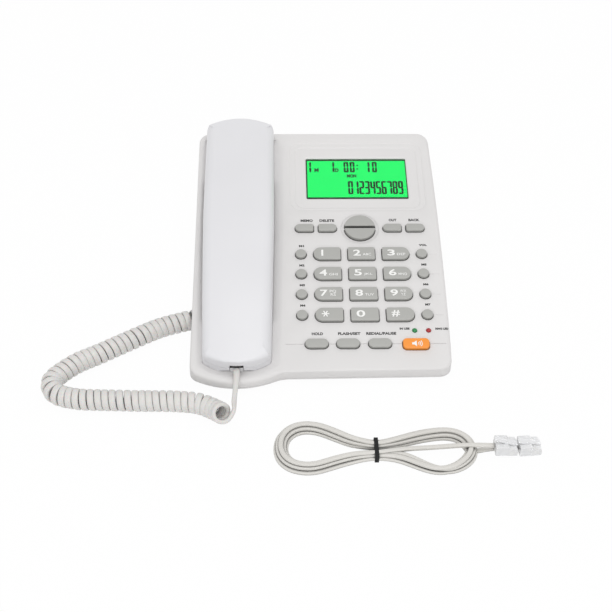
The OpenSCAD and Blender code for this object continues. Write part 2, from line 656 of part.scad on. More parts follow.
module screw(r, l, hr, ht) {
    cylinder(r = hr, h = ht);
    cylinder(r = r, h = l);
}
module base_screws() color([0.75, 0.75, 0.78]) {
    for (p = case_screws) translate([p[0], p[1], foot_h + 1]) difference() {
        screw(screw_r, screw_l, head_r, head_t - 1 + 0.2);
        translate([-2, -0.4, -1]) cube([4, 0.8, 1.4]);
    }
    on_deck() for (p = board_screws) translate([pad_x + p[0], p[1], -pcb_top - pcb_t - 1])
        screw(0.9, 5, 1.8, 1);
}

// ---------------------------------------------------------------- keys
module key_body() {
    translate([0, 0, -flange_top - touch]) linear_extrude(flange_top + key_rise + touch) children(0);
    translate([0, 0, -flange_top - flange_t]) linear_extrude(flange_t) children(1);
    translate([0, 0, -post_end]) cylinder(r = post_r, h = post_end - flange_top);
}
module key(k) color(k[0] == "key_speaker" ? [0.94, 0.6, 0.2] : key_grey) on_deck() key_at(k)
    key_body() {
        key_outline(k);
        polygon(key_points(k[3] + 2 * flange_out, k[4] + 2 * flange_out, k[5] + flange_out, k[6] + flange_out));
    }
module nav_key(side) color(key_grey) on_deck() translate([pad_x, nav_y, 0]) {
    translate([0, 0, -flange_top - touch]) linear_extrude(flange_top + key_rise + touch)
        nav_half(side, nav_r, nav_split);
    translate([0, 0, -flange_top - flange_t]) linear_extrude(flange_t)
        nav_half(side, nav_r + flange_out, nav_split - 1);
    translate([0, side * nav_r / 2, -post_end]) cylinder(r = post_r, h = post_end - flange_top);
}
module keypad_mat() color([0.8, 0.8, 0.82]) on_deck() translate([pad_x, 0, 0]) difference() {
    union() {
        translate([-mat_half_w, mat_front, -mat_top - mat_t]) cube([2 * mat_half_w, mat_back - mat_front, mat_t]);
        for (p = key_posts) drop(p[0], p[1], dome_r, dome_top, mat_top + touch);
    }
    for (p = key_posts) drop(p[0], p[1], post_r + 0.4, 0, pcb_top + 1);
    for (p = board_screws) drop(p[0], p[1], 2.3, 0, pcb_top + 1);
    for (x = led_x) drop(x, led_y, led_d / 2 + 0.5, 0, pcb_top + 1);
}

// ---------------------------------------------------------------- electronics
module main_pcb() color([0.1, 0.42, 0.22]) {
    on_deck() translate([pad_x, 0, -pcb_top - pcb_t]) difference() {
        union() {
            translate([-mat_half_w - 2, mat_front, 0]) cube([2 * mat_half_w + 2, mat_back - mat_front, pcb_t]);
            for (c = chips) translate([c[0] - c[2] / 2, c[1] - c[3] / 2, -1.4]) cube([c[2], c[3], 1.4 + touch]);
        }
        for (p = board_screws) translate([p[0], p[1], -1]) cylinder(r = 1.1, h = 4);
    }
    intersection() {
        on_deck() translate([hs_x + switch_x, hook_y - 5, -switch_top - switch_h - 6]) cube([6, 10, switch_h + 6]);
        above(switch_row_z);
    }
}
module indicator_leds() color([0.3, 0.8, 0.4]) on_deck()
    for (x = led_x) translate([pad_x + x, led_y, -pcb_top]) {
        cylinder(d = led_d, h = pcb_top + 0.2);
        translate([0, 0, pcb_top + 0.2]) intersection() {
            translate([0, 0, -led_d / 2 + 0.6]) sphere(d = led_d);
            translate([-5, -5, -touch]) cube(10);
        }
    }

// ---------------------------------------------------------------- display
module display_window() color([0.8, 0.95, 0.85, 0.4]) on_deck() translate([pad_x, window_y, 0]) {
    translate([0, 0, -pad_under - touch]) linear_extrude(pad_under - bezel_step + touch) rounded(window_w, window_d, 1);
    translate([0, 0, -lcd_top]) linear_extrude(lcd_top - pad_under)
        rounded(window_w + 2 * window_lip, window_d + 2 * window_lip, 1);
}
module lcd_panel() color([0.2, 0.9, 0.45]) on_deck() translate([pad_x, window_y, -lcd_top - lcd_t])
    linear_extrude(lcd_t) square([window_w + 2 * lcd_margin, window_d + 2 * lcd_margin], center = true);
module lcd_holder() color([0.92, 0.92, 0.92]) on_deck() translate([pad_x, window_y, 0]) {
    inner_w = window_w + 2 * lcd_margin + 0.4;
    inner_d = window_d + 2 * lcd_margin + 0.4;
    low = lcd_top + lcd_t + holder_floor;
    difference() {
        translate([0, 0, -low]) linear_extrude(low - pad_under)
            square([inner_w + 2 * holder_wall, inner_d + 2 * holder_wall], center = true);
        translate([0, 0, -low + holder_floor]) linear_extrude(20) square([inner_w, inner_d], center = true);
    }
}

// ---------------------------------------------------------------- hook switch
module hook_plunger() color([0.9, 0.9, 0.9]) on_deck() translate([hs_x, hook_y, 0]) {
    translate([0, 0, -hook_flange - touch]) linear_extrude(hook_flange + hook_top + touch) rounded(hook_w, hook_d, 1.2);
    translate([-hook_w / 2 - 1.5, -hook_d / 2 - 1, -hook_flange - hook_flange_t])
        cube([hook_w + 3, hook_d + 2, hook_flange_t]);
    translate([hook_w / 2, -2, -hook_flange - hook_flange_t]) cube([switch_x, 4, hook_flange_t]);
    translate([0, 0, -spring_seat - 3]) cylinder(r = 1.5, h = spring_seat + 3 - hook_flange);
}
module hook_spring() color([0.7, 0.7, 0.72]) on_deck() translate([hs_x, hook_y, 0]) {
    steps = 12;
    top = -hook_flange - hook_flange_t - spring_wire;
    low = -spring_seat + spring_wire;
    helix = [for (i = [0:spring_turns * steps]) let (a = 360 * i / steps, t = i / (spring_turns * steps))
        [(spring_r - spring_wire) * cos(a), (spring_r - spring_wire) * sin(a), low + (top - low) * t]];
    tube(helix, spring_wire, 6);
}

// ---------------------------------------------------------------- sound, power and jacks
module loudspeaker() color([0.3, 0.3, 0.32]) translate([speaker_x, speaker_y, floor_z]) {
    cylinder(d = speaker_d, h = 3);
    cylinder(d1 = speaker_d * 0.8, d2 = speaker_d * 0.5, h = speaker_h - 4);
    translate([0, 0, speaker_h - 5]) cylinder(d = speaker_d * 0.5, h = 5);
}
module battery_door() color(case_white) {
    w = box_w + 2 * door_lap - 0.4;
    l = box_l + 2 * door_lap - 0.4;
    translate([box_x - w / 2, box_y - l / 2, foot_h]) difference() {
        cube([w, l, door_t]);
        for (i = [0:3]) translate([w / 2 - 8, l - 8 + 1.5 * i, -1]) cube([16, 0.7, 1.3]);
    }
    translate([box_x - w / 2 - tongue_out, box_y - l / 2 + 4, foot_h + 0.5]) cube([w + 2 * tongue_out, l - 8, tongue_t]);
}
module batteries() color([0.3, 0.4, 0.6])
    for (i = [0:cells - 1]) translate([box_x + (i - (cells - 1) / 2) * (cell_d + cell_gap),
            box_y - cell_l / 2, foot_h + door_t + 0.1 + cell_d / 2 + 0.2]) rotate([-90, 0, 0]) {
        cylinder(d = cell_d, h = cell_l - 1);
        cylinder(d = 3.8, h = cell_l);
    }
module line_jack() color([0.2, 0.2, 0.2]) translate([line_x, rear_y - wall, jack_z])
    rotate(180) socket(plug6_w, jack6_w);
module cord_jack() color([0.2, 0.2, 0.2]) translate([jack4_x, pocket_y, jack_z])
    rotate(-90) socket(plug4_w, jack4_w);
module base_cord_plug() color([0.9, 0.95, 1, 0.5]) translate([jack4_x, pocket_y, jack_z])
    rotate(-90) plug(plug4_w);

// ---------------------------------------------------------------- cords
module handset_cord_coil() color([0.85, 0.84, 0.83]) tube(spline(coil_route, 2), coil_d / 2, 12);
module handset_cord_tails() color([0.85, 0.84, 0.83]) {
    tube(spline(hs_tail_route, 2), cord_t / 2, 8, [1, 0, 0]);
    tube(base_tail_route, cord_t / 2, 8);
}
module tie_loop(g) translate([tie_x - tie_w / 2 - g, 0, 0]) difference() {
    translate([0, tie_front - 4 * g, -g]) cube([tie_w + 2 * g, tie_back - tie_front + 8 * g, hank_h + 2 * g]);
    translate([-1, tie_front + tie_t + g, tie_t + g])
        cube([tie_w + 2, tie_back - tie_front - 2 * tie_t - 2 * g, hank_h - 2 * tie_t - 2 * g]);
}
module line_cord_hank() color([0.84, 0.83, 0.81]) difference() {
    linear_extrude(hank_h) difference() {
        polygon(hank_outline);
        polygon(left_eye);
        polygon(right_eye);
    }
    tie_loop(0.1);
}
module line_cord_tail() color([0.84, 0.83, 0.81]) {
    tube(line_run_route, cord_t / 2, 8);
    tube(line_run2_route, cord_t / 2, 8);
}
module line_cord_tie() color([0.05, 0.05, 0.05]) tie_loop(0);
module line_plugs() color([0.9, 0.95, 1, 0.5]) {
    translate(plug1_at) rotate([0, 0, -90]) translate([0, plug_l - plug_in, 0]) plug(plug6_w);
    translate(plug2_at) rotate([0, 0, -86]) translate([0, plug_l - plug_in, 0]) plug(plug6_w);
}

for (k = KEYS) placed() key(k);
for (k = NAV) placed() nav_key(k[1]);
placed() base_top_shell();
placed() base_bottom_shell();
placed() rubber_feet();
placed() base_screws();
placed() main_pcb();
placed() keypad_mat();
placed() display_window();
placed() lcd_panel();
placed() lcd_holder();
placed() indicator_leds();
placed() hook_plunger();
placed() hook_spring();
placed() loudspeaker();
placed() line_jack();
placed() cord_jack();
placed() battery_door();
placed() batteries();
placed() handset_back_shell();
placed() handset_face_shell();
placed() earpiece_capsule();
placed() microphone_capsule();
placed() handset_jack();
placed() handset_cord_coil();
placed() handset_cord_tails();
placed() handset_cord_plug();
placed() base_cord_plug();
placed() line_cord_hank();
placed() line_cord_tail();
placed() line_cord_tie();
placed() line_plugs();
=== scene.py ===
"""Corded landline telephone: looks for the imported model.

Lengths in this file are in millimetres until they reach a mesh. The deck frame lies in the sloping
top of the base: x across, y up the slope from the top row of dial keys, z out of the deck.
"""
from math import acos, atan2, ceil, cos, degrees, hypot, pi, radians, sin, sqrt, tan

import bmesh
import bpy
from mathutils import Matrix, Vector


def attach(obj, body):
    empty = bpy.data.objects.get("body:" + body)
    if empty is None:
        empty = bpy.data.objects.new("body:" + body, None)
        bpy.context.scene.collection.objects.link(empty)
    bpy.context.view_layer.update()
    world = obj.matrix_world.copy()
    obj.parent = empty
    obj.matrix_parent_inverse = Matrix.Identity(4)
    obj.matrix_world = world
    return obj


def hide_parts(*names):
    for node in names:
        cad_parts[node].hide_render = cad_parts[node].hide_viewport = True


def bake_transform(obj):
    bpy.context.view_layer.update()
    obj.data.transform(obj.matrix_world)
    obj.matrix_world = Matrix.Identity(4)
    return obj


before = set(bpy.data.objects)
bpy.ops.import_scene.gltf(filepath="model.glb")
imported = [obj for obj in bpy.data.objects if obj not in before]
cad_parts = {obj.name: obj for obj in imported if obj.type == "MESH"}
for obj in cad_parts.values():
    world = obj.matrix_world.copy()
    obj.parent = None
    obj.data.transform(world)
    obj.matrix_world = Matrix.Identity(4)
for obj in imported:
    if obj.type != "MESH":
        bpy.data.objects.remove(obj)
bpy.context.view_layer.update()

MM = 0.001
scene = bpy.context.scene
collection = scene.collection

# ---------------------------------------------------------------- sizes shared with the model
LEFT, RIGHT, FRONT, REAR = -81.4, 77.1, -98.9, 100.5
SIDE_BOW, FRONT_SLANT = 1.2, 1.2
BULGE, BULGE_R, REAR_R, FRONT_R = 7.4, 50.5, 8.0, 8.0
LIP = FRONT + BULGE
CENTRE = Vector((2.15, -1.0, 0.0))
TILT = radians(11)
PAD_X, PAD_Y, DECK_Z = 25.0, -4.7, 28.872
SEAM = 6.0
HAND_X = -53.2
HAND_W, HAND_LOW_W, HAND_FRONT, HAND_REAR = 45.4, 41.4, 88.5, 108.0
HAND_CROWN, HAND_MID, HAND_ARCH_R, HAND_SEAM = 19.5, 20.0, 670.0, 3.5
END_R, LOW_R, SHOULDER, LOW_SHOULDER = 60.0, 33.7, 2.5, 3.0
KEY_RISE, KEY_GAP = 1.8, 0.3
COLUMN, ROW = 21.9, 15.9
WINDOW_W, WINDOW_D, WINDOW_Y = 68.0, 36.2, 66.4
BEZEL_W, BEZEL_D = 82.5, 54.5
LCD_TOP = 2.8
NAV_Y, NAV_R, NAV_SPLIT = 21.6, 10.0, 1.6
LEDS = ((29.9, -59.2), (38.4, -59.2))


def deck(x, y, z=0.0):
    """A point of the deck frame in the room, in millimetres."""
    return Vector((x, PAD_Y + y * cos(TILT) - z * sin(TILT), DECK_Z + y * sin(TILT) + z * cos(TILT)))


def deck_height(y):
    """Height of the deck above the table at the room's y."""
    return DECK_Z + (y - PAD_Y) * tan(TILT)


def deck_y(y):
    """Where the deck plane has the room's y."""
    return (y - PAD_Y) / cos(TILT)


# ---------------------------------------------------------------- camera
def place_camera():
    data = bpy.data.cameras.new("camera")
    data.lens = 69.8235
    data.sensor_width = 36.0
    data.clip_start = 0.01
    camera = bpy.data.objects.new("camera", data)
    camera.matrix_world = Matrix((
        (0.999635, 0.005060, -0.026526, -0.02843),
        (-0.022826, 0.683167, -0.729905, -0.58090),
        (0.014429, 0.730245, 0.683033, 0.52237),
        (0.0, 0.0, 0.0, 1.0)))
    collection.objects.link(camera)
    scene.camera = camera


place_camera()


# ---------------------------------------------------------------- materials
def set_inputs(tree, node, inputs):
    """Links each input that is given as a socket, and sets the others."""
    for name, value in inputs.items():
        if isinstance(value, bpy.types.NodeSocket):
            tree.links.new(value, node.inputs[name])
        else:
            node.inputs[name].default_value = value


def add(tree, kind, inputs=None, **settings):
    """A new node with its inputs linked or set."""
    node = tree.nodes.new(kind)
    for name, value in settings.items():
        setattr(node, name, value)
    set_inputs(tree, node, inputs or {})
    return node


def new_material(name):
    material = bpy.data.materials.new(name)
    material.use_nodes = True
    return material, material.node_tree, material.node_tree.nodes["Principled BSDF"]


def noise(tree, scale, detail=2.0):
    where = add(tree, "ShaderNodeTexCoord").outputs["Object"]
    return add(tree, "ShaderNodeTexNoise", {"Scale": scale, "Detail": detail, "Vector": where}).outputs["Fac"]


def spread(tree, source, low, high, top=0.7):
    """A value that goes from low to high as source goes from 0.3 to top."""
    return add(tree, "ShaderNodeMapRange", {"From Min": 0.3, "From Max": top, "To Min": low, "To Max": high,
                                            "Value": source}).outputs["Result"]


def blend_colours(tree, source, first, second):
    return add(tree, "ShaderNodeMix", {"A": (*first, 1), "B": (*second, 1), "Factor": source},
               data_type="RGBA").outputs["Result"]


def moulded(name, colour, rough, drift=0.02, grain=2600.0, depth=0.00003, **sockets):
    """Moulded plastic: a slow drift of its tone, a spark-eroded grain and an uneven gloss."""
    material, tree, shader = new_material(name)
    slow, fine = noise(tree, 14.0), noise(tree, grain, 3.0)
    tone = blend_colours(tree, spread(tree, slow, 0.0, 1.0), [c * (1 - drift) for c in colour],
                         [min(c * (1 + drift), 1.0) for c in colour])
    bump = add(tree, "ShaderNodeBump", {"Distance": depth, "Strength": 1.0, "Height": fine})
    set_inputs(tree, shader, {"Base Color": tone, "Roughness": spread(tree, fine, rough - 0.05, rough + 0.05),
                              "Normal": bump.outputs["Normal"],
                              **{socket.replace("_", " "): value for socket, value in sockets.items()}})
    return material


def shaded_crevices(material, reach, dark):
    """Paints shade into a plastic's colour where its surface is closely hemmed in, as between a key's wall and
    its hole.
    """
    tree = material.node_tree
    shader = tree.nodes["Principled BSDF"]
    tone = shader.inputs["Base Color"].links[0].from_socket
    near = add(tree, "ShaderNodeAmbientOcclusion", {"Distance": reach}, samples=8)
    amount = spread(tree, near.outputs["AO"], dark, 1.0, top=0.85)
    shaded = add(tree, "ShaderNodeMix", {"Factor": 1.0, "A": tone, "B": amount},
                 data_type="RGBA", blend_type="MULTIPLY")
    tree.links.new(shaded.outputs["Result"], shader.inputs["Base Color"])


def inks(name, colour, rough=0.5):
    """Printed ink with a slightly uneven cover."""
    material, tree, shader = new_material(name)
    tone = blend_colours(tree, spread(tree, noise(tree, 4200.0), 0.0, 1.0), [c * 0.92 for c in colour],
                         [min(c * 1.06, 1.0) for c in colour])
    set_inputs(tree, shader, {"Base Color": tone, "Roughness": rough})
    return material


def metal(name, colour, rough, brushed=900.0):
    """Metal with fine streaks in its tone and its gloss."""
    material, tree, shader = new_material(name)
    streaks = noise(tree, brushed, 4.0)
    set_inputs(tree, shader, {"Base Color": blend_colours(tree, streaks, [c * 0.9 for c in colour], colour),
                              "Roughness": spread(tree, streaks, rough * 0.8, rough * 1.3), "Metallic": 1.0})
    return material


def clear_plastic(name, tint, rough, ior=1.49, transmission=1.0, haze=600.0):
    """Clear plastic with an uneven haze."""
    material, tree, shader = new_material(name)
    set_inputs(tree, shader, {"Roughness": spread(tree, noise(tree, haze), rough * 0.6, rough * 1.5),
                              "Base Color": (*tint, 1), "Transmission Weight": transmission, "IOR": ior})
    return material


def plug_with_painted_shade(name, height):
    """Clear plastic with painted shade: dark where it stands higher than height off the deck, for the shadow
    inside its socket, and light grey below.
    """
    material, tree, shader = new_material(name)
    where = add(tree, "ShaderNodeTexCoord").outputs["Object"]
    up = add(tree, "ShaderNodeVectorMath", {0: where, 1: (0.0, -sin(TILT), cos(TILT))}, operation="DOT_PRODUCT")
    edge = (DECK_Z * cos(TILT) - (PAD_Y + CENTRE.y) * sin(TILT) + height) * MM
    above = add(tree, "ShaderNodeMath", {0: up.outputs["Value"], 1: edge}, operation="GREATER_THAN")
    # Painted shade: dark above the edge, where the socket shadows the plug.
    tone = blend_colours(tree, above.outputs[0], (0.70, 0.70, 0.71), (0.03, 0.03, 0.03))
    set_inputs(tree, shader, {"Base Color": tone, "Roughness": spread(tree, noise(tree, 90.0), 0.25, 0.45)})
    return material


def lit_panel(name, colour, strength, drift=0.03):
    """A back-lit sheet whose light is a little uneven."""
    material, tree, shader = new_material(name)
    set_inputs(tree, shader, {
        "Emission Color": blend_colours(tree, noise(tree, 60.0), [c * (1 - drift) for c in colour], colour),
        "Emission Strength": strength, "Base Color": (0.0, 0.0, 0.0, 1),
        "Roughness": 0.6, "Specular IOR Level": 0.1})
    return material


CASE = moulded("case_plastic", (0.712, 0.70, 0.695), 0.44)
CASE_LOW = moulded("case_plastic_lower", (0.70, 0.69, 0.685), 0.5)
HANDSET = moulded("handset_plastic", (0.744, 0.742, 0.762), 0.33, grain=1800.0, depth=0.00001)
KEY = moulded("key_plastic", (0.405, 0.405, 0.385), 0.42, drift=0.03)
ORANGE = moulded("orange_plastic", (0.90, 0.30, 0.035), 0.38, drift=0.04)
# Painted shade in the gaps round the keys.
shaded_crevices(KEY, 0.004, 0.2)
shaded_crevices(ORANGE, 0.004, 0.3)
RUBBER = moulded("foot_rubber", (0.05, 0.05, 0.05), 0.75, grain=900.0, depth=0.0001)
MAT = moulded("mat_rubber", (0.55, 0.55, 0.57), 0.6)
BOARD = moulded("circuit_board", (0.02, 0.14, 0.06), 0.35)
WHITE_PART = moulded("holder_white", (0.80, 0.80, 0.79), 0.45)
PLUNGER = moulded("plunger_white", (0.82, 0.82, 0.80), 0.35)
SPEAKER = moulded("speaker_black", (0.03, 0.03, 0.032), 0.7)
JACK = moulded("jack_black", (0.035, 0.035, 0.037), 0.5)
CELL = moulded("cell_sleeve", (0.06, 0.12, 0.32), 0.3)
CORD = moulded("cord_pvc", (0.68, 0.665, 0.645), 0.36, drift=0.03, grain=1200.0, depth=0.00002,
               Subsurface_Weight=0.08, Subsurface_Scale=0.002)
LINE_CORD = moulded("line_cord_pvc", (0.66, 0.645, 0.61), 0.38, drift=0.03, grain=1200.0, depth=0.00002)
# Painted shade between the cords' turns and strands.
shaded_crevices(CORD, 0.003, 0.6)
shaded_crevices(LINE_CORD, 0.003, 0.25)
TIE = moulded("tie_black", (0.008, 0.008, 0.008), 0.6, Specular_IOR_Level=0.25)
LABEL_INK = inks("label_ink", (0.03, 0.03, 0.03))
LEGEND_INK = inks("legend_ink", (0.88, 0.88, 0.86))
LCD_INK = inks("lcd_segments", (0.002, 0.028, 0.008), 0.7)
STEEL = metal("steel", (0.62, 0.62, 0.64), 0.3)
CAPSULE = metal("capsule_metal", (0.5, 0.5, 0.52), 0.35)
GOLD = metal("contact_gold", (0.80, 0.70, 0.48), 0.4)
CLEAR = clear_plastic("plug_clear", (0.95, 0.955, 0.965), 0.28, transmission=0.25, haze=90.0)
PLUG_PAINTED_SHADE = plug_with_painted_shade("plug_painted_shade", 3.6)
WINDOW = clear_plastic("window_clear", (0.97, 1.0, 0.98), 0.02, ior=1.16)
GLOW = lit_panel("lcd_glow", (0.020, 0.97, 0.165), 1.0)
CORE = moulded("core_insulation", (0.60, 0.58, 0.54), 0.4)
LAMP_GREEN = moulded("lamp_green", (0.01, 0.22, 0.06), 0.2, grain=800.0)
LAMP_RED = moulded("lamp_red", (0.36, 0.01, 0.015), 0.2, grain=800.0)


# ---------------------------------------------------------------- mesh helpers
def arc(cx, cy, r, start, end, n):
    """Points of an arc between two angles in degrees."""
    angles = [radians(start + (end - start) * i / n) for i in range(n + 1)]
    return [(cx + r * cos(a), cy + r * sin(a)) for a in angles]


def inset(points, g):
    """The closed outline drawn in by g, a number or one number for each point."""
    n = len(points)
    drawn = []
    for i, (x, y) in enumerate(points):
        ax, ay = points[i - 1]
        bx, by = points[(i + 1) % n]
        ux, uy = x - ax, y - ay
        vx, vy = bx - x, by - y
        lu, lv = hypot(ux, uy), hypot(vx, vy)
        ux, uy, vx, vy = ux / lu, uy / lu, vx / lv, vy / lv
        step = (g if isinstance(g, (int, float)) else g[i]) / (1 + ux * vx + uy * vy)
        drawn.append((x - (uy + vy) * step, y + (ux + vx) * step))
    return drawn


def dense(points, step):
    """The closed outline with its long edges divided."""
    out = []
    for i, (x, y) in enumerate(points):
        bx, by = points[(i + 1) % len(points)]
        parts = max(1, ceil(hypot(bx - x, by - y) / step))
        out += [(x + (bx - x) * k / parts, y + (by - y) * k / parts) for k in range(parts)]
    return out


def box_outline(w, d, r, cx=0.0, cy=0.0, n=6, left=None):
    """A rectangle with round corners, counter-clockwise; left gives the left corners their own radius."""
    rl = r if left is None else left
    return (arc(cx + w / 2 - r, cy + d / 2 - r, r, 0, 90, n)
            + arc(cx - w / 2 + rl, cy + d / 2 - rl, rl, 90, 180, n)
            + arc(cx - w / 2 + rl, cy - d / 2 + rl, rl, 180, 270, n)
            + arc(cx + w / 2 - r, cy - d / 2 + r, r, 270, 360, n))


def circle(cx, cy, r, n=40):
    return [(cx + r * cos(2 * pi * i / n), cy + r * sin(2 * pi * i / n)) for i in range(n)]


class Skin:
    """A mesh made of closed rings that are bridged and filled."""

    def __init__(self):
        self.bm = bmesh.new()

    def ring(self, points):
        return [self.bm.verts.new((Vector(p) + CENTRE) * MM) for p in points]

    def on_deck(self, outline, z=0.0):
        return self.ring([deck(x, y, z) for x, y in outline])

    def bridge(self, a, b):
        for i in range(len(a)):
            j = (i + 1) % len(a)
            self.bm.faces.new((a[i], a[j], b[j], b[i]))

    def stack(self, rings):
        for a, b in zip(rings, rings[1:]):
            self.bridge(a, b)

    def prism(self, low, high):
        """A solid between two flat outlines."""
        self.bridge(low, high)
        self.fill(low)
        self.fill(high)

    def fill(self, *loops):
        edges = []
        for loop in loops:
            for i, v in enumerate(loop):
                pair = (v, loop[(i + 1) % len(loop)])
                edges.append(self.bm.edges.get(pair) or self.bm.edges.new(pair))
        bmesh.ops.triangle_fill(self.bm, use_beauty=True, edges=edges)

    def fan(self, loop, centre):
        tip = self.bm.verts.new((Vector(centre) + CENTRE) * MM)
        for i, v in enumerate(loop):
            self.bm.faces.new((v, loop[(i + 1) % len(loop)], tip))

    def finish(self, name, material, sharp=38):
        """The skin as a piece, shaded smooth except past the angle sharp, or flat where it is 0."""
        bmesh.ops.recalc_face_normals(self.bm, faces=self.bm.faces)
        return mesh_piece(self.bm, name, [material], sharp)


def placed(name, data):
    """An object in the scene for a mesh, curve or light."""
    thing = bpy.data.objects.new(name, data)
    collection.objects.link(thing)
    return thing


def mesh_piece(bm, name, materials, sharp=0):
    mesh = bpy.data.meshes.new(name)
    bm.to_mesh(mesh)
    bm.free()
    if sharp:
        soften(mesh, sharp)
    for material in materials:
        mesh.materials.append(material)
    return placed(name, mesh)


def soften(mesh, sharp):
    """Smooth shading that keeps edges past the angle sharp."""
    mesh.shade_smooth()
    mesh.set_sharp_from_angle(angle=radians(sharp))


def baked(thing):
    """The object's mesh with its modifiers applied."""
    graph = bpy.context.evaluated_depsgraph_get()
    mesh = bpy.data.meshes.new_from_object(thing.evaluated_get(graph))
    thing.modifiers.clear()
    old = thing.data
    thing.data = mesh
    mesh.name = thing.name
    if isinstance(old, bpy.types.Mesh):
        bpy.data.meshes.remove(old)
    return thing


def carve(thing, cutter, sharp=38):
    """Takes the cutter out of the piece."""
    cut = thing.modifiers.new("cut", "BOOLEAN")
    cut.operation, cut.solver, cut.object = "DIFFERENCE", "EXACT", cutter
    bpy.context.view_layer.update()
    baked(thing)
    mesh = thing.data
    while len(mesh.materials) > 1:
        mesh.materials.pop()
    soften(mesh, sharp)
    bpy.data.objects.remove(cutter)


def block(x0, x1, y0, y1, z0, z1, place=lambda *point: point):
    """A box cutter between two limits each way, in the room or, with place=deck, in the deck frame."""
    skin = Skin()
    corners = ((x0, y0), (x1, y0), (x1, y1), (x0, y1))
    low, high = (skin.ring([place(x, y, z) for x, y in corners]) for z in (z0, z1))
    skin.bridge(low, high)
    skin.bm.faces.new(low[::-1])
    skin.bm.faces.new(high)
    return skin.finish("cutter", CASE, sharp=0)


def joined(name, things):
    """One piece made of several objects, with their materials kept."""
    bm = bmesh.new()
    slots = []
    for thing in things:
        start = len(bm.faces)
        bm.from_mesh(thing.data)
        bm.faces.ensure_lookup_table()
        finish = thing.data.materials[0]
        if finish not in slots:
            slots.append(finish)
        for face in bm.faces[start:]:
            face.material_index = slots.index(finish)
        bpy.data.objects.remove(thing)
    return mesh_piece(bm, name, slots)


def dress(piece, body, slot, *nodes):
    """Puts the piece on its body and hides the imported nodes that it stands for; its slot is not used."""
    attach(piece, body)
    if nodes:
        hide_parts(*nodes)


# ---------------------------------------------------------------- cords
def smooth_route(points, steps):
    """Catmull-Rom points through a route, as the model rounds it."""
    p = [Vector(q) for q in points]
    out = []
    for i in range(len(p) - 1):
        a, b, c, d = p[max(i - 1, 0)], p[i], p[i + 1], p[min(i + 2, len(p) - 1)]
        for k in range(steps):
            t = k / steps
            out.append(0.5 * (2 * b + (c - a) * t + (2 * a - 5 * b + 4 * c - d) * t * t
                              + (3 * b - a - 3 * c + d) * t ** 3))
    return out + [p[-1]]


def evenly(points, step):
    """The polyline resampled at even steps."""
    lengths = [0.0]
    for a, b in zip(points, points[1:]):
        lengths.append(lengths[-1] + (b - a).length)
    count = max(2, round(lengths[-1] / step))
    out, j = [], 0
    for i in range(count + 1):
        s = lengths[-1] * i / count
        while j < len(points) - 2 and lengths[j + 1] < s:
            j += 1
        span = max(lengths[j + 1] - lengths[j], 1e-9)
        out.append(points[j].lerp(points[j + 1], min(1.0, (s - lengths[j]) / span)))
    return out, lengths[-1]


def sweep(name, path, outs, section, material, sharp=50):
    """A closed tube along path. outs are directions square to it, and section gives each ring's
    points as (along the path's side, along out)."""
    skin = Skin()
    rings = []
    last = len(path) - 1
    for i, p in enumerate(path):
        run = (path[min(i + 1, last)] - path[max(i - 1, 0)]).normalized()
        out = (outs[i] - run * outs[i].dot(run)).normalized()
        side = run.cross(out)
        rings.append(skin.ring([p + side * s + out * o for s, o in section(i)]))
    skin.stack(rings)
    skin.fan(rings[0][::-1], path[0])
    skin.fan(rings[-1], path[-1])
    return skin.finish(name, material, sharp)


# The coil's course over the table, then the rise of its last turns to the handset.
COIL_ROUTE = [(x, y, 6.7) for x, y in (
    (-77, -41.5), (-81, -41.5), (-85, -41.9), (-90, -43.6), (-103, -48.8), (-121, -60), (-137.5, -70.8),
    (-149, -77.8), (-158.3, -86.5), (-162.7, -94), (-159, -103), (-146, -107.5), (-126, -108.7), (-108, -109.4),
    (-92, -109.7), (-80.5, -110.7), (-74.3, -112))]
COIL_ROUTE += [(-69.2, -114.6, 6.9), (-65.7, -117.2, 7.6), (-63.2, -119.8, 8.6), (-61.6, -122, 10),
               (-60.8, -123.7, 11.4)]
HANDSET_TAIL = [(-53.2, -91.6, 15.04), (-53.2, -94.05, 14.56), (-53.2, -97.4, 13.9), (-53.4, -101, 13.2),
                (-53.65, -105, 12.5), (-53.95, -109, 11.9), (-54.2, -112.5, 11.3)]
BASE_EXIT = (-72.2, -41.5, 9.2)
COIL_OUTER, CORD_WIDE, CORD_THICK = 12.8, 4.1, 2.6
COIL_PITCH, TURN_POINTS = 4.3, 20
COIL_START_ANGLE, COIL_END_ANGLE = 66, 228.0
UP = Vector((0, 0, 1))


def link(p, leave, q, arrive, reach, last_reach):
    """Points of a smooth curve that leaves p along one direction and arrives at q along another."""
    a, b = p + leave * reach, q - arrive * last_reach
    n = max(4, round((q - p).length / 0.7))
    return [p * (1 - t) ** 3 + a * 3 * t * (1 - t) ** 2 + b * 3 * t * t * (1 - t) + q * t ** 3
            for t in [k / n for k in range(n + 1)]]


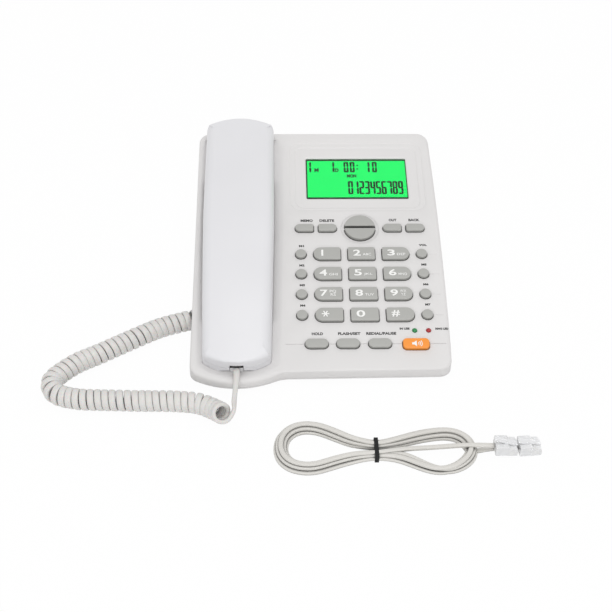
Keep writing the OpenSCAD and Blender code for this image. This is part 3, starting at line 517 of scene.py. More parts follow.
def curly_path():
    """The cord's centre line from the base plug to the handset plug, each point with its outward
    direction and how flat-on the band lies (1 in the coil, 0 in a tail)."""
    centre, length = evenly(smooth_route(COIL_ROUTE, 8), 0.5)
    count = int((round(length / COIL_PITCH) + COIL_END_ANGLE / 360) * TURN_POINTS)
    radius = (COIL_OUTER - CORD_THICK) / 2

    def angle(i):
        return COIL_END_ANGLE - (count - i) / TURN_POINTS * 360

    path, outs, wide = [], [], []
    start = min(range(TURN_POINTS, 2 * TURN_POINTS), key=lambda i: abs(angle(i) % 360 - COIL_START_ANGLE))
    for i in range(start, count + 1):
        slack = (1.6 * sin(i / 37) + 0.9 * sin(i / 17 + 1)) * min(1.0, i / 60, (count - i) / 60)
        t = (i + slack) / count * (len(centre) - 1)
        j = min(int(t), len(centre) - 2)
        c = centre[j].lerp(centre[j + 1], t - j)
        run = (centre[min(j + 2, len(centre) - 1)] - centre[max(j - 1, 0)]).normalized()
        side = run.cross(UP).normalized()
        turn = radians(angle(i))
        out = side.cross(run) * cos(turn) + side * sin(turn)
        path.append(c + out * radius)
        outs.append(out)
        wide.append(1.0)
    first_turn = (path[1] - path[0]).normalized()
    lead = link(Vector(BASE_EXIT), Vector((-0.958, 0, 0.287)), path[0], first_turn, 3.5, 7.0)
    for i, p in enumerate(lead[-2::-1]):
        share = (i + 1) / (len(lead) - 1)
        path.insert(0, p)
        outs.insert(0, outs[0].lerp(UP, min(1.0, 0.25 + share)))
        wide.insert(0, max(0.0, 1 - 1.6 * share))
    tail = smooth_route(HANDSET_TAIL[::-1], 5)
    last_turn = (path[-1] - path[-2]).normalized()
    arc_back = link(path[-1], last_turn, tail[0], (tail[1] - tail[0]).normalized(), 6.0, 6.0)
    end = outs[-1]
    for i, p in enumerate(arc_back[1:-1] + tail):
        path.append(p)
        share = min(1.0, i / 22)
        outs.append(end.lerp(Vector((0, -0.35, 1)), share))
        wide.append(max(0.0, 1 - 1.2 * share))
    keep = [0]
    for i in range(1, len(path)):
        if (path[i] - path[keep[-1]]).length > 0.35:
            keep.append(i)
    return [path[i] for i in keep], [outs[i] for i in keep], [wide[i] for i in keep]


def rounded(value, power):
    return abs(value) ** power * (1 if value >= 0 else -1)


def curly_cord():
    path, outs, wide = curly_path()
    last = len(path) - 1
    sides = 16

    def section(i):
        """A flat band with round edges in the coil, and a round cord in the tails."""
        near_end = max(0.0, 1 - (last - i) / 22)
        half_wide = 1.5 + (CORD_WIDE / 2 - 1.5) * wide[i] + 0.55 * near_end
        half_thick = 1.3 - 0.1 * (1 - wide[i])
        square = 1 - 0.28 * wide[i]
        turns = [2 * pi * k / sides for k in range(sides)]
        return [(half_wide * rounded(cos(a), square), half_thick * rounded(sin(a), square)) for a in turns]

    return sweep("curly_cord", path, outs, section, CORD, sharp=60), path


cord_piece, cord_path = curly_cord()

# Every turn of the hank runs round both lobes, through the tie twice.
TIE_X = 26.8
LEFT_LOBE = [(26.8, -141.2), (14, -137.9), (5, -133.1), (-5, -128), (-14, -126.6), (-21, -129),
             (-26, -134.5), (-27.6, -142), (-26.6, -148.5), (-22.5, -153.8), (-16, -156.4), (-8, -156.3),
             (3, -152.3), (15, -148.9), (26.8, -147.8)]
RIGHT_LOBE = [(26.8, -147.8), (40, -149), (50, -154), (58, -158.2), (66, -159), (73, -156), (79, -150),
              (81, -143.5), (78.5, -137), (72, -132.8), (64, -132.3), (52, -134.5), (42, -137.6),
              (34, -139.8), (26.8, -141.2)]
# Each turn's lane across the bundle and its height.
LANES = ((-1.0, 1.25), (1.0, 1.25), (0.0, 1.3), (-0.6, 3.5), (0.6, 3.5), (0.0, 5.4))


def eased(t):
    """t held between 0 and 1, with a soft start and stop."""
    t = min(1.0, max(0.0, t))
    return t * t * (3 - 2 * t)


def hank_path():
    """The line cord's turns through the hank, from its first plug's side to its second's."""
    loop = [Vector((x, y, 0)) for x, y in LEFT_LOBE[:-1] + RIGHT_LOBE[:-1]]
    ring = evenly(smooth_route(loop + [loop[0]], 6), 2.0)[0][:-1]
    n = len(ring)
    entry, leave = (min(range(n), key=lambda i: (ring[i] - Vector(p)).length)
                    for p in ((79.5, -146, 0), (TIE_X, -147.8, 0)))
    path = []
    for i in range((len(LANES) - 1) * n + (leave - entry) % n):
        j = (entry + i) % n
        out = (ring[(j + 1) % n] - ring[j - 1]).normalized().cross(UP)
        from_tie = abs(ring[j].x - TIE_X)
        near_tie = eased(1 - from_tie / 26.0)
        under_tie = max(0.0, 1 - from_tie / 14.0)
        place = i / n
        turn = int(place)
        shift = eased((place - turn - 0.8) / 0.2)
        (lane, height), (next_lane, next_height) = LANES[turn], LANES[min(turn + 1, len(LANES) - 1)]
        lane = lane + (next_lane - lane) * shift + 0.1 * sin(7.1 * place + 2.3 * turn)
        height = height + (next_height - height) * shift
        height = height + (2.7 + (height - 2.5) * 0.45 - height) * under_tie
        path.append(ring[j] + out * lane * (2.75 - 0.8 * near_tie) + UP * height)
    return path


LINE_START = [(107.8, -143, 1.8), (105.3, -143, 1.6), (100.5, -142.9, 1.5), (96, -142.9, 1.4),
              (90, -143.4, 1.4), (85, -144.8, 1.3)]
LINE_END = [(34, -146.6, 4.3), (44, -145.6, 4.8), (56, -144.8, 4.6), (66, -144.6, 5.3), (74, -144.6, 6.2),
            (82, -144.7, 6.6), (88, -145, 6.6), (93.7, -145.4, 6.7)]


def line_cord():
    path = evenly([Vector(p) for p in LINE_START] + hank_path() + [Vector(p) for p in LINE_END], 2.0)[0]
    for _ in range(4):
        path = [path[0]] + [(a + b * 2 + c) / 4 for a, b, c in zip(path, path[1:], path[2:])] + [path[-1]]

    def section(i):
        """Two cores side by side with a groove between them."""
        half, thick, groove = 1.38, 1.18, 0.86
        points = []
        for k in range(16):
            a = 2 * pi * k / 16
            x = half * cos(a)
            dip = 1 - (1 - groove) * max(0.0, 1 - abs(x) / 0.7)
            points.append((x, thick * dip * rounded(sin(a), 0.6)))
        return points

    return sweep("line_cord", path, [UP] * len(path), section, LINE_CORD, sharp=60), path


line_piece, line_path = line_cord()


# ---------------------------------------------------------------- base
BLEND_R = 20.0


def base_outline(g=0.0):
    """The base in plan, drawn in by g."""
    bulge_y = FRONT + BULGE_R
    reach = HAND_X - LEFT - FRONT_R
    left_a = 180 + degrees(atan2(sqrt((BULGE_R - FRONT_R) ** 2 - reach ** 2), reach))
    blend_x = HAND_X + sqrt((BULGE_R + BLEND_R) ** 2 - (BULGE_R - BULGE + BLEND_R) ** 2)
    blend_a = 270 + degrees(atan2(blend_x - HAND_X, BULGE_R - BULGE + BLEND_R))
    corner_y = bulge_y - sqrt((BULGE_R - FRONT_R) ** 2 - reach ** 2)
    return (arc(RIGHT - SIDE_BOW - REAR_R, REAR - REAR_R, REAR_R - g, 0, 90, 12)
            + arc(LEFT + REAR_R, REAR - REAR_R, REAR_R - g, 90, 180, 12)
            + arc(LEFT + FRONT_R, corner_y, FRONT_R - g, 180, left_a, 8)
            + arc(HAND_X, bulge_y, BULGE_R - g, left_a + 3, blend_a, 24)
            + arc(blend_x, LIP - BLEND_R, BLEND_R + g, blend_a - 180 - 3, 90, 6)
            + arc(RIGHT - SIDE_BOW - FRONT_R, LIP + FRONT_SLANT + FRONT_R, FRONT_R - g, 270, 360, 10)
            + [(RIGHT - SIDE_BOW * (y / 90) ** 2 - g, y) for y in range(-72, 90, 12)])


def facing(points):
    """The outward direction at each point of a closed outline."""
    n = len(points)
    out = []
    for i in range(n):
        ax, ay = points[i - 1]
        bx, by = points[(i + 1) % n]
        length = hypot(bx - ax, by - ay)
        out.append(((by - ay) / length, (ax - bx) / length))
    return out


def handset_outline(g=0.0):
    """The handset in plan, from the middle of its upper end round its left side, drawn in by g."""
    def end(half, end_r, r):
        a = degrees(acos((half - r) / (end_r - r)))
        y = (end_r - r) * sin(radians(a)) - end_r
        return (arc(half - r, y, r, 0, a, 8) + arc(0, -end_r, end_r, a, 180 - a, 24)[1:]
                + arc(r - half, y, r, 180 - a, 180, 8)[1:])

    upper = [(HAND_X + x, HAND_REAR + y) for x, y in end(HAND_W / 2, END_R, SHOULDER)]
    lower = [(HAND_X - x, -HAND_FRONT - y) for x, y in end(HAND_LOW_W / 2, LOW_R, LOW_SHOULDER)]
    whole = dense(upper + [(HAND_X - HAND_W / 2, HAND_MID)] + lower + [(HAND_X + HAND_W / 2, HAND_MID)], 7)
    start = min(range(len(whole)), key=lambda i: (whole[i][0] - HAND_X) ** 2 + (whole[i][1] - HAND_REAR) ** 2)
    whole = whole[start:] + whole[:start]
    return inset(whole, g) if g else whole


def clip_y(points, low, high):
    """The part of a convex outline between two values of y."""
    for limit, keep in ((low, 1), (high, -1)):
        out = []
        for i, (x, y) in enumerate(points):
            px, py = points[i - 1]
            inside, before = keep * (y - limit) >= 0, keep * (py - limit) >= 0
            if inside != before:
                t = (limit - py) / (y - py)
                out.append((px + (x - px) * t, limit))
            if inside:
                out.append((x, y))
        points = out
    return points


ROUND_END, CORNER = 4.75, 1.2


def dial_keys():
    """Each key as its name, middle, width, depth and the corner radii of its left and right."""
    names = ("1", "2", "3", "4", "5", "6", "7", "8", "9", "star", "0", "hash")
    for i, name in enumerate(names):
        column, row = i % 3, i // 3
        yield (name, (column - 1) * COLUMN, -row * ROW, 17.4, 9.9,
               ROUND_END if column == 0 else CORNER, ROUND_END if column == 2 else CORNER)


def small_keys():
    for side, names in ((-38.6, ("m1", "m2", "m3", "m4")), (38.6, ("vol", "m5", "m6", "m7"))):
        for row, name in enumerate(names):
            yield name, side, -row * ROW, 7.0, 7.0, 3.48, 3.48
    for name, x, left, right in (("memo", -36, 2.9, CORNER), ("delete", -21, CORNER, 2.9),
                                 ("out", 21, 2.9, CORNER), ("back", 36, CORNER, 2.9)):
        yield name, x, 21.4, 12.0, 6.0, left, right
    for name, x in (("hold", -30.2), ("flash", -11.2), ("redial", 8.2)):
        yield name, x, -69.0, 14.2, 6.6, 3.2, 3.2
    yield "speaker", 30.0, -69.6, 16.2, 7.6, 2.6, 2.6


KEYS = list(dial_keys()) + list(small_keys())


def key_outline(key, grow=0.0):
    name, x, y, w, d, left, right = key
    return box_outline(w + 2 * grow, d + 2 * grow, max(0.12, right + grow), PAD_X + x, y, 7,
                       left=max(0.12, left + grow))


def half_disc(side, r, split):
    a = degrees(atan2(split / 2, sqrt(r * r - split * split / 4)))
    points = arc(0, 0, r, a, 180 - a, 30)
    return [(PAD_X + x * side, NAV_Y + y * side) for x, y in points]


def blind_hole(skin, outline_at, depth, soft=0.35, floor=0.0):
    """A hole with a soft rim from depth floor down; returns its loop on the surface."""
    rim = skin.on_deck(outline_at(soft), floor)
    rings = [rim]
    for a in (30, 60, 90):
        in_from_rim, down = soft * (1 - sin(radians(a))), soft * (1 - cos(radians(a)))
        rings.append(skin.on_deck(outline_at(in_from_rim), floor - down))
    rings.append(skin.on_deck(outline_at(0.0), floor - depth))
    skin.stack(rings)
    skin.fill(rings[-1])
    return rim


def groove(skin, x0, x1, y, width=0.6, depth=0.4):
    """A shallow straight groove; returns its loop on the surface."""
    top = box_outline(x1 - x0, width, 0.12, (x0 + x1) / 2, y, 2)
    rim = skin.on_deck(top)
    low = skin.on_deck(inset(top, 0.06), -depth)
    skin.bridge(rim, low)
    skin.fill(low)
    return rim


def bezel(skin):
    """The two-step frame round the display and its opening; returns its outer loop."""
    outer = box_outline(90.6, 61.4, 8.5, PAD_X, 67.2, 10)
    inner = box_outline(BEZEL_W, BEZEL_D, 6.0, PAD_X, WINDOW_Y + 0.3, 10)
    opening = box_outline(WINDOW_W, WINDOW_D, 1.0, PAD_X, WINDOW_Y, 10)
    rings = [skin.on_deck(outer)]
    for g, z in ((0.25, -0.1), (0.5, -0.35), (0.8, -0.5), (1.1, -0.52)):
        rings.append(skin.on_deck(inset(outer, g), z))
    for g, z in ((-0.7, -0.42), (-0.3, -0.46), (0.0, -0.62), (0.25, -0.88), (0.6, -1.0), (1.0, -1.0)):
        rings.append(skin.on_deck(inset(inner, g), z))
    for g, z in ((-1.7, -1.0), (-1.3, -1.0), (-0.9, -1.08), (-0.15, -1.5), (0.0, -1.62), (0.0, -LCD_TOP - 0.1)):
        rings.append(skin.on_deck(inset(opening, g), z))
    skin.stack(rings)
    skin.fill(rings[-1])
    return rings[0]


CRADLE_END, CRADLE_Z = 100.5, -4.0


def cradle(skin):
    """The hollow that the handset lies in, with its wells; returns its loop on the deck."""
    body = handset_outline()
    edge = [(x, deck_y(y)) for x, y in dense(inset(base_outline(), 2.6), 3)]
    gap = 0.25
    slope = []
    for (nx, ny), (x, y) in zip(facing(body), body):
        room = min(hypot(x - ex, y - ey) for ex, ey in edge) - gap - 0.2
        slope.append(max(0.4, min(room, 4.0 + 1.8 * max(0.0, nx) ** 2)))
    rings = []
    for share, z in ((1.0, 0.0), (0.97, -0.01), (0.85, -0.1), (0.7, -0.26), (0.55, -0.46), (0.4, -0.68),
                     (0.25, -0.88), (0.1, -1.02), (0.0, -1.1)):
        grown = inset(body, [-gap - share * w for w in slope])
        rings.append(skin.on_deck([(x, min(y, CRADLE_END + share * 0.45)) for x, y in grown], z))
    lip = [max(-0.1, min(1.4, (-HAND_FRONT + 1.55 - y) / -ny)) if ny < -0.3 else -0.1
           for (nx, ny), (x, y) in zip(facing(body), body)]
    for drawn, z in ((lip, -1.14), (lip, -2.1), (-0.5, -2.6), (-0.5, CRADLE_Z)):
        rings.append(skin.on_deck([(x, min(y, CRADLE_END)) for x, y in inset(body, drawn)], z))
    skin.stack(rings)
    wells = [rings[-1]]
    mouth = clip_y(inset(body, -0.35), -200, -53.5)
    ear = clip_y(inset(body, -0.35), 61.7, 99.9)
    for outline, floor_z in ((mouth, lambda y: -4.1 - 5.7 * (y + 89.5) / 36.0), (ear, lambda y: -15.3)):
        top, floor = skin.on_deck(outline, CRADLE_Z), skin.ring([deck(x, y, floor_z(y)) for x, y in outline])
        skin.bridge(top, floor)
        skin.fill(floor)
        wells.append(top)
    trough = box_outline(34, 68, 4, HAND_X, 12.0)
    wells.append(blind_hole(skin, lambda g: inset(trough, -g), 8.0, 0.8, floor=CRADLE_Z))
    hook = box_outline(12.6, 7.6, 1.5, HAND_X, 54.0, 4)
    housing = box_outline(40, 12, 2, HAND_X, 54.0, 4)
    shaft = [skin.on_deck(outline, z)
             for outline, z in ((hook, CRADLE_Z), (hook, -6.0), (housing, -6.1), (housing, -22.0))]
    skin.stack(shaft)
    skin.fill(shaft[-1])
    wells.append(shaft[0])
    skin.fill(*wells)
    return rings[0]


def upper_case():
    skin = Skin()
    outline = base_outline()
    normals = facing(outline)
    soft = [1.5 + 1.0 * max(0.0, nx) ** 2 - 0.7 * max(0.0, -ny) ** 2 * (x > -30)
            + 0.7 * max(0.0, -ny) ** 2 * (x < -30) for (nx, ny), (x, y) in zip(normals, outline)]
    for _ in range(3):
        soft = [(soft[i - 1] + 2 * r + soft[(i + 1) % len(soft)]) / 4 for i, r in enumerate(soft)]
    rings = [skin.ring([(x, y, SEAM + z) for x, y in inset(outline, g)])
             for g, z in ((0.35, 0.05), (0.1, 0.12), (0.0, 0.35))]
    skin.fill(rings[0])
    for a in (0, 11, 22, 34, 45, 56, 68, 79, 90):
        drawn = inset(outline, [s * (1 - cos(radians(a))) for s in soft])
        down = 1 - sin(radians(a))
        rings.append(skin.ring([(x, y, deck_height(y) - s * down) for (x, y), s in zip(drawn, soft)]))
    holding = inset(outline, [s + 0.1 for s in soft])
    rings.append(skin.ring([(x, y, deck_height(y)) for x, y in holding]))
    skin.stack(rings)
    loops = [rings[-1], cradle(skin), bezel(skin)]
    for key in KEYS:
        loops.append(blind_hole(skin, lambda g, key=key: key_outline(key, KEY_GAP + g), 4.6, 0.25))
    ring = [skin.on_deck(circle(PAD_X, NAV_Y, r, 72), z)
            for r, z in ((12.6, 0.0), (12.4, -0.08), (12.15, -0.3), (11.9, -0.5), (11.6, -0.55))]
    skin.stack(ring)
    halves = [blind_hole(skin, lambda g, s=s: half_disc(s, NAV_R + KEY_GAP + g, NAV_SPLIT - 2 * (KEY_GAP + g)),
                         4.2, 0.15, floor=-0.55) for s in (1, -1)]
    skin.fill(ring[-1], *halves)
    loops.append(ring[0])
    for x, y in LEDS:
        loops.append(blind_hole(skin, lambda g, x=x, y=y: circle(PAD_X + x, y, 1.6 + g, 24), 3.0, 0.2))
    for x0, x1 in ((-49.0, -37.9), (-22.5, -18.9), (-3.5, 0.5), (15.9, 21.3), (38.7, 48.2)):
        loops.append(groove(skin, PAD_X + x0, PAD_X + x1, -68.9))
    for row in range(4):
        loops.append(groove(skin, PAD_X + 42.9, PAD_X + 48.5, -row * ROW, 0.45, 0.2))
    skin.fill(*loops)
    case = skin.finish("upper_case", CASE)
    # The curly cord's recess and its jack's room, then the line socket and its jack's room.
    for limits in ((LEFT - 20, LEFT + 10.9, -50.0, -33.0, -1.0, 14.5),
                   (LEFT + 9.9, LEFT + 24, -47.3, -35.7, 0.0, 14.4),
                   (-15.9, -4.1, REAR - 4.2, REAR + 5, 0.0, 13.7),
                   (-16.6, -3.4, REAR - 16.0, REAR - 2.1, 0.0, 14.4)):
        carve(case, block(*limits))
    return case


# ---------------------------------------------------------------- handset
def back_height(x, y):
    return HAND_CROWN - (y - HAND_MID) ** 2 / (2 * HAND_ARCH_R) - 2.6 * ((x - HAND_X) / 22.7) ** 2


def handset_back():
    skin = Skin()

    def dome(g):
        """The rings from the seam over the soft edge to the spine, for the shell drawn in by g."""
        outline = handset_outline(g)
        normals = facing(outline)
        soft = [max(0.5, min(0.9 + 4.6 * abs(nx) ** 1.6, back_height(x, y) - HAND_SEAM - 0.8) - g)
                for (nx, ny), (x, y) in zip(normals, outline)]
        rings = []
        for a in (0, 10, 20, 31, 43, 55, 67, 79, 90):
            drawn = inset(outline, [s * (1 - cos(radians(a))) for s in soft])
            rings.append([deck(x, y, back_height(x, y) - g - s * (1 - sin(radians(a))))
                          for (x, y), s in zip(drawn, soft)])
            last = drawn
        for share in (0.04, 0.2, 0.4, 0.6, 0.8):
            ring = []
            for x, y in last:
                spine = min(max(y, -HAND_FRONT + 22), HAND_REAR - 24)
                px, py = x + (HAND_X - x) * share, y + (spine - y) * share
                ring.append(deck(px, py, back_height(px, py) - g))
            rings.append(ring)
        return rings

    def close(loop):
        n = len(loop)
        half = n // 2
        for i in range(half):
            quad = [loop[i], loop[i + 1], loop[(n - i - 1) % n], loop[(n - i) % n]]
            unique = list(dict.fromkeys(quad))
            if len(unique) > 2:
                skin.bm.faces.new(unique)

    outline = handset_outline()
    outer = [skin.on_deck(inset(outline, 0.3), HAND_SEAM + 0.02), skin.on_deck(outline, HAND_SEAM + 0.3)]
    outer += [skin.ring(r) for r in dome(0.0)]
    inner = [skin.on_deck(inset(outline, 2.2), HAND_SEAM + 0.02)] + [skin.ring(r) for r in dome(2.2)]
    skin.stack(outer)
    skin.stack(inner)
    skin.bridge(outer[0], inner[0])
    close(outer[-1])
    close(inner[-1])
    shell = skin.finish("handset_back", HANDSET, sharp=42)
    carve(shell, block(HAND_X - 4.15, HAND_X + 4.15, -95, -85.5, -3, 6.6, place=deck), sharp=42)
    return shell


# ---------------------------------------------------------------- keys
def key_cap(name, outline_at, centre, material, soft=0.4, crown=0.16):
    """A key's cap with drafted walls, a soft top edge and a slightly raised middle."""
    skin = Skin()
    rings = [skin.on_deck(outline_at(g), z) for g, z in ((-0.25, -2.6), (0.0, -2.35), (0.0, 0.0))]
    for a in (0, 15, 30, 45, 60, 75, 90):
        g = 0.12 + soft * (1 - cos(radians(a)))
        rings.append(skin.on_deck(outline_at(-g), KEY_RISE - soft * (1 - sin(radians(a)))))
    for g in (0.12, 0.6, 1.2):
        rings.append(skin.on_deck(outline_at(-0.12 - soft - g), KEY_RISE + crown * min(1.0, g / 1.6)))
    skin.stack(rings)
    skin.fill(rings[0])
    skin.fan(rings[-1], deck(*centre, KEY_RISE + crown))
    return skin.finish(name, material, sharp=50)


def buttons():
    for key in KEYS:
        name, x, y = key[:3]
        material, slot = (ORANGE, "orange_plastic") if name == "speaker" else (KEY, "key_plastic")
        cap = key_cap(f"cap_{name}", lambda g, key=key: key_outline(key, g), (PAD_X + x, y), material)
        dress(cap, f"button_{name}", slot, f"key_{name}")
    for name, side in (("up", 1), ("down", -1)):
        cap = key_cap(f"cap_{name}", lambda g, s=side: half_disc(s, NAV_R + g, NAV_SPLIT - 2 * g),
                      (PAD_X, NAV_Y + side * 4.6), KEY)
        dress(cap, f"button_{name}", "key_plastic", f"key_{name}")


# ---------------------------------------------------------------- lettering
def lettering(name, words, x, y, z, high, wide, material, bold=0.0, depth=0.04, lines=1.0):
    """Words centred at x, y, fitted to a height and a width, standing depth above z."""
    curve = bpy.data.curves.new(name, "FONT")
    curve.body = words
    curve.align_x = "CENTER"
    curve.space_line = lines
    curve.resolution_u = 4
    curve.offset = bold
    curve.extrude = 0.5
    thing = placed(name, curve)
    bpy.context.view_layer.update()
    mesh = bpy.data.meshes.new_from_object(thing.evaluated_get(bpy.context.evaluated_depsgraph_get()))
    bpy.data.objects.remove(thing)
    xs = [v.co.x for v in mesh.vertices]
    ys = [v.co.y for v in mesh.vertices]
    mx, my = (min(xs) + max(xs)) / 2, (min(ys) + max(ys)) / 2
    kx, ky = wide / (max(xs) - min(xs)), high / (max(ys) - min(ys))
    for v in mesh.vertices:
        v.co = (deck(x + (v.co.x - mx) * kx, y + (v.co.y - my) * ky, z + (v.co.z + 0.5) * depth) + CENTRE) * MM
    mesh.materials.clear()
    mesh.materials.append(material)
    return placed(name, mesh)


def flat_shapes(name, shapes, z, material, depth=0.03):
    """Thin printed shapes from outlines in the deck frame."""
    skin = Skin()
    for outline in shapes:
        skin.prism(skin.on_deck(outline, z), skin.on_deck(outline, z + depth))
    return skin.finish(name, material, sharp=0)


def deck_labels():
    """The words printed by the keys, each with its middle, height, width and weight."""
    labels = [(words, x, y, 2.0, wide, 0.04) for words, x, y, wide in (
        ("MEMO", -34.3, 28.3, 7.9), ("DELETE", -21.2, 28.3, 9.6), ("OUT", 21.8, 28.6, 5.1),
        ("BACK", 35.8, 28.6, 7.2), ("HOLD", -29.6, -61.3, 6.8), ("FLASH/SET", -10.2, -61.3, 13.7),
        ("REDIAL/PAUSE", 9.3, -61.3, 18.2))]
    labels += [(words, x, y, 1.55, wide, 0.045) for words, x, y, wide in (
        ("IN USE", 23.8, -57.8, 6.0), ("RING LED", 46.6, -58.0, 7.9), ("VOL", 40.0, 7.6, 5.1))]
    for row in range(4):
        labels.append((f"M{row + 1}", -38.1, 7.1 - row * 15.7, 1.6, 3.2, 0.05))
        if row:
            labels.append((f"M{row + 4}", 39.5, 7.4 - row * 15.7, 1.6, 3.3, 0.05))
    return joined("deck_labels", [
        lettering("label", words, PAD_X + x, y, 0.0, high, wide, LABEL_INK, bold=bold, depth=0.1)
        for words, x, y, high, wide, bold in labels])


def star(x, y, reach, half):
    """The outline of a star with six straight arms."""
    points = []
    for a in range(0, 360, 60):
        ux, uy = cos(radians(a)), sin(radians(a))
        points += [(x + reach * ux + half * uy, y + reach * uy - half * ux),
                   (x + reach * ux - half * uy, y + reach * uy + half * ux),
                   (x + 2 * half * cos(radians(a + 30)), y + 2 * half * sin(radians(a + 30)))]
    return points


LEGEND_Z = KEY_RISE + 0.17


def key_legends():
    """Each dial key's sign at its left, and its letters in one or two lines at its right."""
    letters = {"2": "ABC", "3": "DEF", "4": "GHI", "5": "JKL", "6": "MNO", "7": "PQ\nRS", "8": "TUV",
               "9": "WX\nYZ"}
    signs = {"star": (-2.4, 5.0, 5.2), "hash": (-3.0, 4.9, 5.2), "0": (-2.6, 5.0, 5.4), "1": (-3.1, 4.9, 1.35)}
    for name, key_x, y, w, d, left, right in dial_keys():
        shift, high, wide = signs.get(name, (-2.95 if right == ROUND_END else -2.9, 4.9, 4.8))
        x = PAD_X + key_x + shift
        if name == "star":
            parts = [flat_shapes("legend", [star(x, y, 2.4, 0.36)], LEGEND_Z, LEGEND_INK, depth=0.1)]
        else:
            sign = "#" if name == "hash" else name
            parts = [lettering("legend", sign, x, y, LEGEND_Z, high, wide, LEGEND_INK, bold=0.022, depth=0.1)]
        if name in letters:
            dx, dy, high, wide = (5.6, 0.0, 4.6, 4.1) if "\n" in letters[name] else (6.3, 1.35, 1.9, 5.4)
            parts.append(lettering("legend", letters[name], x + dx, y - dy, LEGEND_Z, high, wide, LEGEND_INK,
                                   bold=0.015, depth=0.1, lines=0.95))
        dress(joined(f"legend_{name}", parts), f"button_{name}", "holder_white")


def speaker_sign():
    """A loudspeaker with three sound waves, on the speakerphone key."""
    cx, cy = PAD_X + 30.4, -70.0
    horn = [(-3.0, 0.8), (-3.0, -0.8), (-1.9, -0.8), (-0.2, -2.1), (-0.2, 2.1), (-1.9, 0.8)]
    shapes = [[(cx + x, cy + y) for x, y in horn]]
    for r in (1.6, 2.6, 3.6):
        shapes.append(arc(cx - 0.3, cy, r, -38, 38, 8) + arc(cx - 0.3, cy, r - 0.45, 38, -38, 8))
    dress(flat_shapes("legend_speaker", shapes, LEGEND_Z, LEGEND_INK), "button_speaker", "holder_white")


# ---------------------------------------------------------------- display
SEGMENTS = dict(zip("0123456789", (
    "abcdef", "bc", "abged", "abgcd", "fgbc", "afgcd", "afgedc", "abc", "abcdefg", "abcdfg")))


def segment_shapes(sign, x, y, w, h, t=1.3, gap=0.06):
    """The lit bars of a seven-segment digit centred at x, y, each t thick with pointed ends."""
    top, bottom, left, right = y + h / 2, y - h / 2, x - w / 2, x + w / 2

    def flat(yy):
        x0, x1, half = left + gap, right - gap, t / 2
        return [(x0, yy), (x0 + half, yy + half), (x1 - half, yy + half), (x1, yy), (x1 - half, yy - half),
                (x0 + half, yy - half)]

    def upright(xx, y0, y1):
        y0, y1, half = y0 + gap, y1 - gap, t / 2
        return [(xx, y0), (xx + half, y0 + half), (xx + half, y1 - half), (xx, y1), (xx - half, y1 - half),
                (xx - half, y0 + half)]

    bars = {"a": flat(top - t / 2), "g": flat(y), "d": flat(bottom + t / 2),
            "b": upright(right - t / 2, y, top), "c": upright(right - t / 2, bottom, y),
            "f": upright(left + t / 2, y, top), "e": upright(left + t / 2, bottom, y)}
    return [bars[s] for s in SEGMENTS[sign]]


def display_signs():
    """The display's date and clock line, its digits, its small words and dark bands along the edges of its
    sheet, partly the sheet's own dark border and partly painted shadow of the frame.
    """
    z = -LCD_TOP + 0.14
    shapes = []
    for sign, x in (("1", -31.9), ("1", -16.2), ("0", -6.6), ("0", -2.4), ("1", 7.8), ("0", 12.7)):
        shapes += segment_shapes(sign, PAD_X + x, 77.6, 3.3, 9.4)
    for dy in (1.6, -1.6):
        shapes.append(box_outline(0.95, 1.1, 0.1, PAD_X + 1.0, 77.6 + dy, 1))
    for i, sign in enumerate("0123456789"):
        shapes += segment_shapes(sign, PAD_X - 4.2 + i * 3.733, 59.1, 3.4, 11.5)
    parts = [flat_shapes("signs", shapes, z, LCD_INK, depth=0.08)]
    for words, x, y, high, wide in (("M", -26.7, 75.0, 3.2, 2.9), ("D", -13.0, 74.9, 3.2, 2.5),
                                    ("MON", -3.1, 69.6, 2.9, 6.3)):
        parts.append(lettering("signs", words, PAD_X + x, y, z, high, wide, LCD_INK, bold=0.055, depth=0.08))
    # Dark bands along the sheet's edges: partly its own border, partly painted shadow of the frame on the
    # sheet.
    w, d = WINDOW_W / 2, WINDOW_D / 2
    borders = ((-w, w, d - 1.2, d), (-w, w, -d, -d + 2.3), (-w, -w + 0.96, -d, d), (w - 0.56, w, -d, d))
    edge = [[(PAD_X + x, WINDOW_Y + y) for x, y in ((x0, y0), (x1, y0), (x1, y1), (x0, y1))]
            for x0, x1, y0, y1 in borders]
    parts.append(flat_shapes("signs", edge, z, LCD_INK, depth=0.02))
    return joined("display_signs", parts)


def display_glass():
    skin = Skin()
    outline = box_outline(WINDOW_W - 0.3, WINDOW_D - 0.3, 0.9, PAD_X, WINDOW_Y)
    rings = [skin.on_deck(inset(outline, g), z) for g, z in ((0.0, -2.3), (0.0, -1.75), (0.15, -1.6))]
    skin.stack(rings)
    skin.fill(rings[0])
    skin.fill(rings[-1])
    return skin.finish("display_glass", WINDOW, sharp=30)


def lamp(name, x, y, material):
    """A domed lamp standing in its hole."""
    skin = Skin()
    tops = [(1.5, -3.0), (1.5, 0.25)]
    tops += [(1.5 * cos(radians(a)), 0.25 + 0.75 * sin(radians(a))) for a in (15, 30, 45, 60, 75)]
    rings = [skin.on_deck(circle(PAD_X + x, y, r, 24), z) for r, z in tops]
    skin.stack(rings)
    skin.fill(rings[0])
    skin.fan(rings[-1], deck(PAD_X + x, y, 1.0))
    return skin.finish(name, material, sharp=60)


